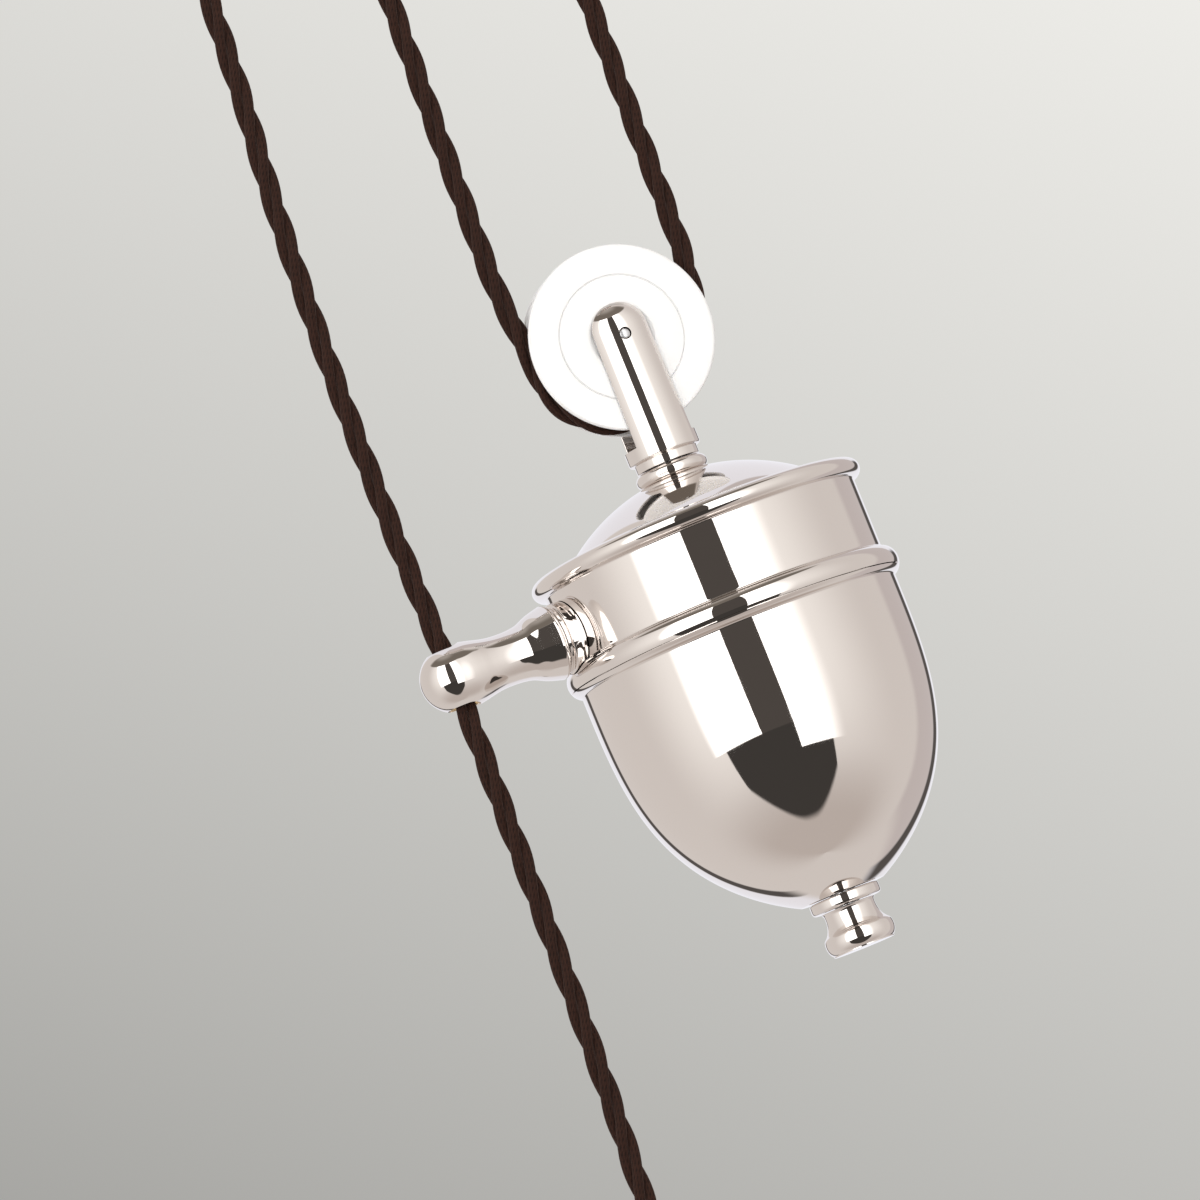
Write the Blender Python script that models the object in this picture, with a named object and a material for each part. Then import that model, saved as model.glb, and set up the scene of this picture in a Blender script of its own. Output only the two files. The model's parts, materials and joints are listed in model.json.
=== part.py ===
"""Counterweight of a rise-and-fall pendant lamp, hanging on its cord from its ceiling fitting.

Lengths are in millimetres and become metres as each mesh is made. +Z is up along the weight's
own axis, +X runs along the two pulley wheels' common plane, and the origin is the middle of
the ceiling plate's top face. Heights on the weight are counted from its pulley's axle.
"""
import math

import bmesh
import bpy
from mathutils import Matrix, Vector

MM = 0.001
GAP = 0.3                      # clearance between neighbouring pieces
BODY_SEGMENTS = 40             # facets round the weight's body

# Where the main centres lie
WEIGHT_CENTRE = Vector((22.0, 0.0, -221.0))    # middle of the weight's pulley axle
CEILING_CENTRE = Vector((-31.2, 0.0, -41.0))   # middle of the ceiling wheel's axle
ARM_TURN = math.radians(6.5)   # the guide arm stands this far off the pulleys' plane

# Pulley wheels
WHEEL_RADIUS = 30.0
WHEEL_HALF_WIDTH = 6.2
GROOVE_PATH_RADIUS = 25.0      # where the cord's middle runs
GROOVE_ROUND = 4.3
HUB_RADIUS = 4.2
HUB_HALF_WIDTH = 5.6
AXLE_RADIUS = 1.7
SLOT_HALF_WIDTH = 6.7

# Fork
FORK_TOP = 13.8
FORK_TOP_RADIUS = 11.5
FORK_FOOT_RADIUS = 11.9
FORK_NECK_RADIUS = 10.4
FORK_SLOT_FLOOR = -34.8
FORK_SHOULDER = -39.1
FORK_FOOT = -42.3

# Body of the weight
COLLAR_RADIUS = 11.8
COLLAR_TOP = -42.6
COLLAR_FOOT = -47.3
DOME_RADIUS = 63.6
DOME_CENTRE = -109.8
DOME_FLAT_RADIUS = 12.4
LID_RADIUS = 48.7
LID_FOOT = -67.6
WALL = 3.0
BAND_RADIUS = 52.1
BAND_INNER = 49.0
UPPER_BEAD = (-64.8, 3.4, 3.5)     # height, how far it stands out, half height
LOWER_BEAD = (-96.4, 3.8, 4.6)
BEAD_CENTRE_RADIUS = 52.0
SEAM = -98.6                   # where the bowl parts from the band
BOWL_RADIUS = 52.8
BOWL_TOP = -100.0
BOWL_DEPTH = 92.5
BOWL_FOOT = -187.5
BOWL_FULLNESS = 3.25
BOWL_ROUNDNESS = 1.35
FINIAL_COLLAR = (-187.9, -191.6, 11.5)
FINIAL_TOP = -191.9
FINIAL_FOOT = -205.8

# Rod and ballast
ROD_RADIUS = 4.0
ROD_TOP = -37.4
ROD_FOOT = -199.5
ROD_HOLE = 4.3
DISC_HEIGHT = 15.8
DISC_TOP = -100.2
DISC_RADII = (44.5, 44.5, 42.0, 36.0)

# Guide arm
ARM_HEIGHT = -82.7
ARM_BACK = 57.3                # flat back face, measured out from the weight's axis
ARM_BALL = 92.8
ARM_BALL_RADIUS = 10.5
ARM_BORE_RADIUS = 5.3
BUSH_RADIUS = 5.0
BUSH_BORE_RADIUS = 4.3
BUSH_HALF_LENGTH = 8.8
BOSS_RADIUS = 11.6
STUD_RADIUS = 3.0

# Ceiling fitting
PLATE_LENGTH = 140.0
PLATE_WIDTH = 36.0
PLATE_THICKNESS = 5.0
BRACKET_WIDTH = 16.0
BRACKET_WALL = 2.6
ANCHOR_X = 56.6                # the cord's fixed end
ANCHOR_RADIUS = 8.0
ANCHOR_FOOT = -29.0

# Cord, three covered cores twisted together, and the grip on its lower end
CORD_RADIUS = 3.6
CORD_STEP = 18.0               # between the tube's points on a straight stretch
CORD_TURN = math.radians(19.0)     # and the most it turns between two of them
LAMP_GRIP_CENTRE = Vector((-76.1, -12.4, -484.0))

# The cord's middle line in metres, from the ceiling anchor down round the weight's pulley,
# up over the ceiling wheel and down through the guide arm to the lamp.
CORD_ROUTE = (
    (0.0566, 0.0000, -0.0130), (0.0564, 0.0000, -0.0360), (0.0557, 0.0000, -0.0710),
    (0.0549, 0.0000, -0.1110), (0.0536, 0.0000, -0.1560), (0.0525, 0.0000, -0.1950),
    (0.0516, 0.0000, -0.2060), (0.0500, 0.0000, -0.2165), (0.0476, 0.0000, -0.2272),
    (0.0436, 0.0000, -0.2350), (0.0376, 0.0000, -0.2410), (0.0302, 0.0000, -0.2448),
    (0.0220, 0.0000, -0.2466), (0.0131, 0.0000, -0.2460), (0.0040, 0.0000, -0.2422),
    (-0.0026, 0.0000, -0.2356), (-0.0060, 0.0000, -0.2272), (-0.0067, 0.0000, -0.2165),
    (-0.0076, 0.0000, -0.2060), (-0.0085, 0.0000, -0.1950), (-0.0077, 0.0000, -0.1560),
    (-0.0060, 0.0000, -0.1120), (-0.0047, 0.0000, -0.0750), (-0.0042, 0.0000, -0.0530),
    (-0.0046, 0.0000, -0.0410), (-0.0066, 0.0000, -0.0320), (-0.0106, 0.0000, -0.0254),
    (-0.0163, 0.0000, -0.0204), (-0.0234, 0.0000, -0.0171), (-0.0312, 0.0000, -0.0159),
    (-0.0390, 0.0000, -0.0171), (-0.0461, 0.0000, -0.0204), (-0.0518, 0.0000, -0.0254),
    (-0.0558, 0.0000, -0.0320), (-0.0578, -0.0001, -0.0410), (-0.0584, -0.0006, -0.0530),
    (-0.0596, -0.0015, -0.0725), (-0.0624, -0.0029, -0.1120), (-0.0656, -0.0043, -0.1440),
    (-0.0689, -0.0067, -0.2010), (-0.0702, -0.0090, -0.2510), (-0.0702, -0.0103, -0.2860),
    (-0.0702, -0.0105, -0.3015), (-0.0702, -0.0106, -0.3170), (-0.0709, -0.0109, -0.3460),
    (-0.0722, -0.0115, -0.3960), (-0.0736, -0.0119, -0.4360), (-0.0752, -0.0122, -0.4660),
    (-0.0761, -0.0124, -0.4840), (-0.0761, -0.0124, -0.4970),
)


# ---------------------------------------------------------------- making helpers

def finish(name, colour, roughness, metallic):
    """A plain surface for one kind of piece."""
    material = bpy.data.materials.new(name)
    material.use_nodes = True
    shader = material.node_tree.nodes["Principled BSDF"]
    shader.inputs["Base Color"].default_value = (*colour, 1.0)
    shader.inputs["Roughness"].default_value = roughness
    shader.inputs["Metallic"].default_value = metallic
    return material


def centre_empty(name, place, turn=0.0):
    """An empty that a group of pieces hangs on."""
    empty = bpy.data.objects.new(name, None)
    empty.location = Vector(place) * MM
    empty.rotation_euler = (0.0, 0.0, turn)
    bpy.context.scene.collection.objects.link(empty)
    return empty


def place_mesh(name, bm, material, parent, turned_to=None, offset=(0.0, 0.0, 0.0)):
    """Turns a bmesh in millimetres into an object, its own Z laid along turned_to."""
    bmesh.ops.recalc_face_normals(bm, faces=bm.faces)
    bmesh.ops.scale(bm, vec=(MM, MM, MM), verts=bm.verts)
    mesh = bpy.data.meshes.new(name)
    bm.to_mesh(mesh)
    bm.free()
    mesh.shade_smooth()
    mesh.set_sharp_from_angle(angle=math.radians(32.0))
    if material:
        mesh.materials.append(material)
    piece = bpy.data.objects.new(name, mesh)
    bpy.context.scene.collection.objects.link(piece)
    piece.parent = parent
    piece.location = Vector(offset) * MM
    if turned_to is not None:
        piece.rotation_euler = Vector(turned_to).to_track_quat("Z", "Y").to_euler()
    return piece


def arc(centre_r, centre_z, half_width, half_height, start, stop, steps):
    """Points of an ellipse's arc in a turned outline, its angles in degrees."""
    points = []
    for i in range(steps + 1):
        angle = math.radians(start + (stop - start) * i / steps)
        points.append((centre_r + half_width * math.cos(angle), centre_z + half_height * math.sin(angle)))
    return points


def turned(name, outline, material, parent, segments=32, ring=False, **where):
    """Spins an outline of (radius, height) points about Z; a ring's outline closes on itself."""
    bm = bmesh.new()
    points = [bm.verts.new((r, 0.0, z)) for r, z in outline]
    edges = [bm.edges.new(pair) for pair in zip(points, points[1:])]
    if ring:
        edges.append(bm.edges.new((points[-1], points[0])))
    bmesh.ops.spin(
        bm, geom=points + edges, cent=(0, 0, 0), axis=(0, 0, 1),
        angle=2 * math.pi, steps=segments, use_merge=True,
    )
    bmesh.ops.remove_doubles(bm, verts=bm.verts, dist=1e-4)
    return place_mesh(name, bm, material, parent, **where)


def rod(name, radius, low, high, material, parent, segments=16, chamfer=0.0, **where):
    """A plain round bar with eased ends."""
    if chamfer:
        side = [(radius - chamfer, high), (radius, high - chamfer), (radius, low + chamfer), (radius - chamfer, low)]
    else:
        side = [(radius, high), (radius, low)]
    outline = [(0, high)] + side + [(0, low)]
    return turned(name, outline, material, parent, segments, **where)


def tube(name, inner, outer, low, high, material, parent, segments=16, **where):
    """A plain sleeve, washer or disc with a hole."""
    outline = [(inner, high), (outer, high), (outer, low), (inner, low)]
    return turned(name, outline, material, parent, segments, ring=True, **where)


def hex_nut(name, across_flats, inner, low, high, material, parent, **where):
    """A six-sided nut, its corners turned down at both ends."""
    corner = across_flats / math.sqrt(3)
    ease = corner - across_flats / 2
    rings = [(across_flats / 2, high), (corner, high - ease), (corner, low + ease), (across_flats / 2, low)]
    nut = turned(name, [(0, high)] + rings + [(0, low)], material, parent, 6, **where)
    cut(nut, cutter_rod(name + "_hole", inner, low - 2, high + 2, parent, segments=16, **where))
    return nut


def box_mesh(low, high):
    """A bmesh box between two corners."""
    bm = bmesh.new()
    bmesh.ops.create_cube(bm, size=1.0)
    low, high = Vector(low), Vector(high)
    bmesh.ops.scale(bm, vec=high - low, verts=bm.verts)
    bmesh.ops.translate(bm, vec=(high + low) / 2, verts=bm.verts)
    return bm


def as_cutter(piece):
    """Marks an object as a tool for a Boolean and no part of the model."""
    piece.hide_render = True
    piece.display_type = "WIRE"
    return piece


def cutter_rod(name, radius, low, high, parent, segments=24, **where):
    return as_cutter(rod(name, radius, low, high, None, parent, segments, **where))


def cutter_box(name, low, high, parent):
    return as_cutter(place_mesh(name, box_mesh(low, high), None, parent))


def cut(piece, tool):
    """Takes the tool's volume out of the piece."""
    boolean = piece.modifiers.new(tool.name, "BOOLEAN")
    boolean.operation = "DIFFERENCE"
    boolean.solver = "EXACT"
    boolean.object = tool


# ---------------------------------------------------------------- the pulley wheels

def wheel_outline():
    """A grooved porcelain wheel's section: bearing hole, sunk hub, flat face, rim and groove."""
    half = WHEEL_HALF_WIDTH
    upper = [
        (HUB_RADIUS, HUB_HALF_WIDTH), (9.0, HUB_HALF_WIDTH), (10.2, half),
        (WHEEL_RADIUS - 1.0, half), (WHEEL_RADIUS, half - 1.0),
    ]
    groove = arc(GROOVE_PATH_RADIUS, 0.0, GROOVE_ROUND, GROOVE_ROUND, 90, 270, 6)
    lower = [(r, -z) for r, z in reversed(upper)]
    return upper + groove + lower


def pulley(prefix, parent, porcelain, brass, steel):
    """A wheel with its bearing sleeve, axle and two side washers, about the parent's Y axis."""
    along = (0, 1, 0)
    turned(prefix + "_wheel", wheel_outline(), porcelain, parent, 32, ring=True, turned_to=along)
    tube(prefix + "_bush", AXLE_RADIUS + GAP, HUB_RADIUS - GAP, -HUB_HALF_WIDTH + 0.1,
         HUB_HALF_WIDTH - 0.1, brass, parent, turned_to=along)
    for side, sign in (("front", -1), ("rear", 1)):
        edges = sorted((sign * (HUB_HALF_WIDTH + GAP), sign * (SLOT_HALF_WIDTH - GAP)))
        tube(f"{prefix}_washer_{side}", AXLE_RADIUS + GAP, 5.5, *edges, steel, parent, turned_to=along)


# ---------------------------------------------------------------- the weight's upper half

def pulley_fork(parent, nickel, steel):
    """A turned post with a domed top, slotted for the wheel; its axle ends flush outside."""
    outline = [(0, FORK_TOP)]
    outline += arc(0, FORK_TOP - FORK_TOP_RADIUS, FORK_TOP_RADIUS, FORK_TOP_RADIUS, 78, 0, 8)
    outline += [
        (FORK_FOOT_RADIUS, FORK_SHOULDER + 0.8), (FORK_FOOT_RADIUS - 0.6, FORK_SHOULDER),
        (FORK_NECK_RADIUS, FORK_SHOULDER - 0.3), (FORK_NECK_RADIUS, FORK_FOOT), (0, FORK_FOOT),
    ]
    fork = turned("pulley_fork", outline, nickel, parent, 28)
    cut(fork, cutter_box("fork_slot", (-20, -SLOT_HALF_WIDTH, FORK_SLOT_FLOOR), (20, SLOT_HALF_WIDTH, 20), parent))
    cut(fork, cutter_rod("fork_axle_hole", AXLE_RADIUS + GAP, -20, 20, parent, turned_to=(0, 1, 0)))
    cut(fork, cutter_rod("fork_rod_hole", ROD_HOLE, FORK_FOOT - 5, ROD_TOP + GAP, parent))
    reach = FORK_TOP_RADIUS - 0.1
    rod("pulley_axle", AXLE_RADIUS, -reach, reach, steel, parent, chamfer=0.3, turned_to=(0, 1, 0))


def neck_collar(parent, nickel):
    """A half-round ring between the fork and the dome."""
    middle = (COLLAR_TOP + COLLAR_FOOT) / 2
    half = (COLLAR_TOP - COLLAR_FOOT) / 2
    outline = [(ROD_HOLE, COLLAR_TOP)] + arc(COLLAR_RADIUS - 2.2, middle, 2.2, half, 90, -90, 6)
    outline.append((ROD_HOLE, COLLAR_FOOT))
    turned("neck_collar", outline, nickel, parent, 28, ring=True)


def sphere_height(radius_from_axis, sphere_radius):
    """Height of the dome's sphere at a distance from the axis."""
    return DOME_CENTRE + math.sqrt(sphere_radius ** 2 - radius_from_axis ** 2)


def dome_lid(parent, nickel):
    """A shallow spherical cap with a flat seat for the collar and a level edge."""
    edge = 44.6
    outer = [(ROD_HOLE, COLLAR_FOOT - GAP), (DOME_FLAT_RADIUS, COLLAR_FOOT - GAP)]
    steps = 5
    for i in range(1, steps + 1):
        r = DOME_FLAT_RADIUS + (edge - DOME_FLAT_RADIUS) * i / steps
        outer.append((r, sphere_height(r, DOME_RADIUS)))
    outer += [(LID_RADIUS, outer[-1][1]), (LID_RADIUS, LID_FOOT), (edge - WALL, LID_FOOT)]
    inner = []
    for i in range(steps):
        r = (edge - WALL) + (DOME_FLAT_RADIUS - (edge - WALL)) * i / steps
        inner.append((r, sphere_height(r, DOME_RADIUS - WALL)))
    inner += [(DOME_FLAT_RADIUS, COLLAR_FOOT - GAP - WALL), (ROD_HOLE, COLLAR_FOOT - GAP - WALL)]
    turned("dome_lid", outer + inner, nickel, parent, BODY_SEGMENTS, ring=True)


def band_side(grown=0.0):
    """The band's outer side, top to bottom: upper bead, cylinder, and lower bead to the seam."""
    height, proud, half = UPPER_BEAD
    side = arc(BEAD_CENTRE_RADIUS, height, proud + grown, half + grown, 140, -88, 8)
    height, proud, half = LOWER_BEAD
    last = math.degrees(math.asin((SEAM - height) / half))
    return side + arc(BEAD_CENTRE_RADIUS, height, proud + grown, half + grown, 88, last, 5)


def body_band(parent, arm_empty, nickel):
    """A cylinder with a half-round bead at each end and a shelf inside that carries the lid."""
    outline = [(BAND_INNER, UPPER_BEAD[0] + 2.0)] + band_side()
    outline += [
        (BAND_INNER, SEAM), (BAND_INNER, LID_FOOT - 3.6), (45.6, LID_FOOT - 3.0),
        (45.6, LID_FOOT - GAP), (BAND_INNER, LID_FOOT - GAP),
    ]
    band = turned("body_band", outline, nickel, parent, BODY_SEGMENTS, ring=True)
    cut(band, cutter_rod("band_stud_hole", STUD_RADIUS + GAP, 40, 60, arm_empty, turned_to=(-1, 0, 0)))


# ---------------------------------------------------------------- the weight's lower half

def bowl_radius(height, offset=0.0):
    """The bowl's outer radius at a height: full below the band, then drawing in to the finial."""
    depth = min(1.0, max(0.0, (BOWL_TOP - height) / (BOWL_DEPTH - offset)))
    return (BOWL_RADIUS - offset) * (1 - depth ** BOWL_FULLNESS) ** (1 / BOWL_ROUNDNESS)


def ballast_bowl(parent, nickel):
    """The urn-shaped lower shell, with a spigot that stands up inside the band."""
    spigot = 48.7
    height, proud, half = LOWER_BEAD
    first = math.degrees(math.asin((SEAM - GAP - height) / half))
    outline = [(spigot - WALL, SEAM + 4.5), (spigot, SEAM + 4.5), (spigot, SEAM - GAP)]
    outline += arc(BEAD_CENTRE_RADIUS, height, proud, half, first, -76, 3)
    heights = [-102, -118, -131, -141, -149.5, -157, -164, -170.5, -176.5, -182]
    outline += [(bowl_radius(z), z) for z in heights]
    outline += [(bowl_radius(BOWL_FOOT), BOWL_FOOT), (ROD_HOLE + 0.3, BOWL_FOOT)]
    inner = [(ROD_HOLE + 0.3, BOWL_FOOT + 3.5)]
    inner += [(bowl_radius(z, WALL), z) for z in (-182, -175, -165, -152, -137)]
    inner.append((spigot - WALL, -120))
    turned("ballast_bowl", outline + inner, nickel, parent, BODY_SEGMENTS, ring=True)


def finial(parent, nickel):
    """The waisted knob on the rod's end that draws the bowl up, and its disc."""
    high, low, radius = FINIAL_COLLAR
    outline = [(ROD_HOLE, high), (radius - 0.5, high), (radius, high - 0.5)]
    outline += arc(radius - 1.2, low + 1.2, 1.2, 1.2, 0, -90, 3)
    outline.append((ROD_HOLE, low))
    turned("finial_disc", outline, nickel, parent, 24, ring=True)
    neck, belly, face = 8.3, 11.4, 10.2
    profile = [(0, -200.0), (ROD_HOLE, -200.0), (ROD_HOLE, FINIAL_TOP), (9.0, FINIAL_TOP), (neck, FINIAL_TOP - 0.9)]
    profile += [(neck, FINIAL_TOP - 2.8), (neck + 0.35, FINIAL_TOP - 4.6), (neck + 1.5, FINIAL_TOP - 7.0)]
    profile += arc(belly - 2.6, FINIAL_FOOT + 3.9, 2.6, 3.9, 35, -62, 5)
    profile += [(face, FINIAL_FOOT), (0, FINIAL_FOOT)]
    turned("finial", profile, nickel, parent, 24)


# ---------------------------------------------------------------- inside the weight

def rod_and_ballast(parent, steel, iron):
    """The through rod, the nut that clamps the lid, and a stack of iron discs hung below it."""
    rod("tie_rod", ROD_RADIUS, ROD_FOOT, ROD_TOP, steel, parent, chamfer=0.5)
    under_lid = COLLAR_FOOT - GAP - WALL
    tube("lid_washer", ROD_HOLE, 10.5, under_lid - 2.0, under_lid - GAP, steel, parent)
    hex_nut("lid_nut", 13.0, ROD_HOLE, under_lid - 8.8, under_lid - 2.3, steel, parent)
    tube("spacer_sleeve", ROD_HOLE, 8.0, DISC_TOP + GAP, under_lid - 9.1, steel, parent)
    top = DISC_TOP
    for number, radius in enumerate(DISC_RADII, 1):
        tube(f"ballast_disc_{number}", ROD_HOLE, radius, top - DISC_HEIGHT + GAP, top, iron, parent, 28)
        top -= DISC_HEIGHT
    tube("ballast_washer", ROD_HOLE, 12.0, top - 1.8, top, steel, parent)
    hex_nut("ballast_nut", 13.0, ROD_HOLE, top - 8.6, top - 2.1, steel, parent)


# ---------------------------------------------------------------- the guide arm

def arm_outline():
    """The arm's section, out from its flat back: flared foot, waist, then a rounded end."""
    outline = [(0, ARM_BACK), (10.9, ARM_BACK)]
    outline += arc(10.9, ARM_BACK + 1.5, 1.15, 1.5, -50, 60, 4)
    outline += [(10.75, 63.6), (9.0, 67.9), (8.4, 71.6), (8.3, 75.0)]
    outline += [(8.45, 78.2), (8.95, 81.4), (9.75, 84.9)]
    outline += arc(0, ARM_BALL, ARM_BALL_RADIUS, ARM_BALL_RADIUS, -24, 80, 7)
    outline.append((0, ARM_BALL + ARM_BALL_RADIUS))
    return outline


def guide_arm(parent, weight, nickel, steel, brass):
    """The turned arm, its boss against the band, the stud that holds it and the cord's bush."""
    outwards = (-1, 0, 0)
    arm = turned("guide_arm", arm_outline(), nickel, parent, 24, turned_to=outwards)
    bore = Vector((-ARM_BALL, 0, 0))
    cut(arm, cutter_rod("arm_bore", ARM_BORE_RADIUS, -20, 20, parent, 20, offset=bore))
    cut(arm, cutter_rod("arm_stud_hole", STUD_RADIUS + GAP, ARM_BACK - 5, 68, parent, turned_to=outwards))
    tube("guide_bush", BUSH_BORE_RADIUS, BUSH_RADIUS, -BUSH_HALF_LENGTH, BUSH_HALF_LENGTH, brass,
         parent, offset=bore)

    boss_outline = [(STUD_RADIUS + GAP, ARM_BACK - GAP), (BOSS_RADIUS - 0.9, ARM_BACK - GAP)]
    boss_outline += [(BOSS_RADIUS - 0.9, 55.9), (BOSS_RADIUS - 0.3, 55.7), (BOSS_RADIUS, 55.2), (BOSS_RADIUS, 46)]
    boss_outline.append((STUD_RADIUS + GAP, 46))
    boss = turned("arm_boss", boss_outline, nickel, parent, 24, ring=True, turned_to=outwards)
    side = band_side(grown=GAP)
    saddle = [(0, side[0][1])] + side + [(0, side[-1][1])]
    cut(boss, as_cutter(turned("boss_saddle", saddle, None, weight, BODY_SEGMENTS)))

    rod("arm_stud", STUD_RADIUS, 40.6, 66.5, steel, parent, chamfer=0.4, turned_to=outwards)
    tube("arm_washer", STUD_RADIUS + GAP, 7.5, 46.4, 47.9, steel, parent, turned_to=outwards)
    hex_nut("arm_nut", 10.0, STUD_RADIUS + GAP, 41.2, 46.1, steel, parent, turned_to=outwards)


# ---------------------------------------------------------------- the ceiling fitting

def stadium(length, width, low, high, rounding_steps=7):
    """A bmesh slab with round ends, long in X."""
    bm = bmesh.new()
    radius = width / 2
    straight = length / 2 - radius
    corners = []
    for centre, start in ((straight, -90), (-straight, 90)):
        for i in range(rounding_steps + 1):
            angle = math.radians(start + 180 * i / rounding_steps)
            corners.append((centre + radius * math.cos(angle), radius * math.sin(angle)))
    face = bm.faces.new([bm.verts.new((x, y, low)) for x, y in corners])
    raised = bmesh.ops.extrude_face_region(bm, geom=[face])["geom"]
    top = [item for item in raised if isinstance(item, bmesh.types.BMVert)]
    bmesh.ops.translate(bm, vec=(0, 0, high - low), verts=top)
    return bm


def ceiling_plate(nickel):
    """The flat plate that is screwed to the ceiling, holed for its screws and fittings."""
    plate = place_mesh("ceiling_plate", stadium(PLATE_LENGTH, PLATE_WIDTH, -PLATE_THICKNESS, 0), nickel, None)
    bevel = plate.modifiers.new("eased_edge", "BEVEL")
    bevel.width = 0.8 * MM
    bevel.segments = 1
    bevel.limit_method = "ANGLE"
    bevel.angle_limit = math.radians(60)
    holes = {"left_screw": -60.0, "right_screw": 22.0, "bracket_screw": CEILING_CENTRE.x, "anchor": ANCHOR_X}
    radii = {"left_screw": 2.3, "right_screw": 2.3, "bracket_screw": 2.3, "anchor": 4.3}
    for name, x in holes.items():
        cut(plate, cutter_rod(name + "_hole", radii[name], -20, 10, None, offset=(x, 0, 0)))


def ceiling_bracket(parent, nickel, steel):
    """A U-shaped bracket hung under the plate, with the wheel between its legs."""
    top = -PLATE_THICKNESS - GAP - CEILING_CENTRE.z
    floor = -8.0
    half = SLOT_HALF_WIDTH + BRACKET_WALL
    bm = stadium(top - floor + BRACKET_WIDTH / 2, BRACKET_WIDTH, -half, half)
    bmesh.ops.translate(bm, vec=((top + BRACKET_WIDTH / 2 + floor) / 2, 0, 0), verts=bm.verts)
    bmesh.ops.rotate(bm, cent=(0, 0, 0), matrix=Matrix.Rotation(-math.pi / 2, 3, "Y"), verts=bm.verts)
    bmesh.ops.rotate(bm, cent=(0, 0, 0), matrix=Matrix.Rotation(math.pi / 2, 3, "Z"), verts=bm.verts)
    bracket = place_mesh("ceiling_bracket", bm, nickel, parent)
    cut(bracket, cutter_box("bracket_top", (-20, -20, top), (20, 20, top + 20), parent))
    inside = top - BRACKET_WALL
    cut(bracket, cutter_box("bracket_slot", (-20, -SLOT_HALF_WIDTH, -20), (20, SLOT_HALF_WIDTH, inside), parent))
    cut(bracket, cutter_rod("bracket_axle_hole", AXLE_RADIUS + GAP, -20, 20, parent, turned_to=(0, 1, 0)))
    cut(bracket, cutter_rod("bracket_screw_hole", 2.3, inside - 2, top + 2, parent))
    reach = half + 1.0
    rod("ceiling_axle", AXLE_RADIUS, -reach, reach, steel, parent, chamfer=0.3, turned_to=(0, 1, 0))
    head = inside - GAP
    screw = [(0, top + 4.5), (1.7, top + 4.5), (2.0, top + 4.2), (2.0, head), (4.0, head), (4.0, head - 0.6)]
    screw += [(3.2, head - 1.3), (0, head - 1.5)]
    turned("bracket_screw", screw, steel, parent, 16)


def cord_anchor(nickel, steel):
    """The ceiling fitting's cup that grips the cord's fixed end with a side screw."""
    top = -PLATE_THICKNESS - GAP
    bore = CORD_RADIUS + 0.6
    outline = [(0, -0.8), (4.0, -0.8), (4.0, top), (ANCHOR_RADIUS, top), (ANCHOR_RADIUS, ANCHOR_FOOT + 5)]
    outline += arc(ANCHOR_RADIUS - 2.2, ANCHOR_FOOT + 5, 2.2, 5, 0, -90, 4)
    outline += [(bore, ANCHOR_FOOT), (bore, -11.0), (0, -11.0)]
    centre = centre_empty("anchor_centre", (ANCHOR_X, 0, 0))
    anchor = turned("cord_anchor", outline, nickel, centre, 20)
    side_screw("anchor_screw", anchor, centre, -17.0, (1, 0, 0), ANCHOR_RADIUS, steel)


def side_screw(name, body, centre, height, direction, surface, steel):
    """A small screw through a grip's side wall, its tip just clear of the cord."""
    along = Vector(direction)
    here = Vector((0, 0, height))
    cut(body, cutter_rod(name + "_hole", 1.8, CORD_RADIUS - 1.0, surface + 5, centre, 12, turned_to=along, offset=here))
    tip = CORD_RADIUS + 0.5
    head = surface + GAP
    outline = [(0, head + 2.0), (2.4, head + 1.8), (2.8, head + 1.2), (2.8, head), (1.5, head), (1.5, tip + 0.3)]
    outline += [(1.2, tip), (0, tip)]
    turned(name, outline, steel, centre, 12, turned_to=along, offset=here)


# ---------------------------------------------------------------- the cord and its lower end

def smooth_line(points, between=24):
    """A smooth curve through the route's points (Catmull-Rom, spaced by distance)."""
    points = [Vector(p) for p in points]
    points = [2 * points[0] - points[1]] + points + [2 * points[-1] - points[-2]]
    line = []
    for a, b, c, d in zip(points, points[1:], points[2:], points[3:]):
        knots = [0.0]
        for p, q in ((a, b), (b, c), (c, d)):
            knots.append(knots[-1] + math.sqrt((q - p).length))
        for i in range(between):
            t = knots[1] + (knots[2] - knots[1]) * i / between
            ab = a.lerp(b, (t - knots[0]) / (knots[1] - knots[0]))
            bc = b.lerp(c, (t - knots[1]) / (knots[2] - knots[1]))
            cd = c.lerp(d, (t - knots[2]) / (knots[3] - knots[2]))
            first = ab.lerp(bc, (t - knots[0]) / (knots[2] - knots[0]))
            second = bc.lerp(cd, (t - knots[1]) / (knots[3] - knots[1]))
            line.append(first.lerp(second, (t - knots[1]) / (knots[2] - knots[1])))
    line.append(points[-2])
    return line


def tube_points(line):
    """Thins a fine line out to a point every step, or sooner where it turns."""
    kept = [line[0]]
    run, turn = 0.0, 0.0
    for before, here, after in zip(line, line[1:], line[2:]):
        run += (here - before).length
        turn += (here - before).angle(after - here, 0.0)
        if run >= CORD_STEP * MM or turn >= CORD_TURN:
            kept.append(here)
            run, turn = 0.0, 0.0
    if (line[-1] - kept[-1]).length < 2 * CORD_RADIUS * MM:
        kept.pop()
    return kept + [line[-1]]


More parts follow.
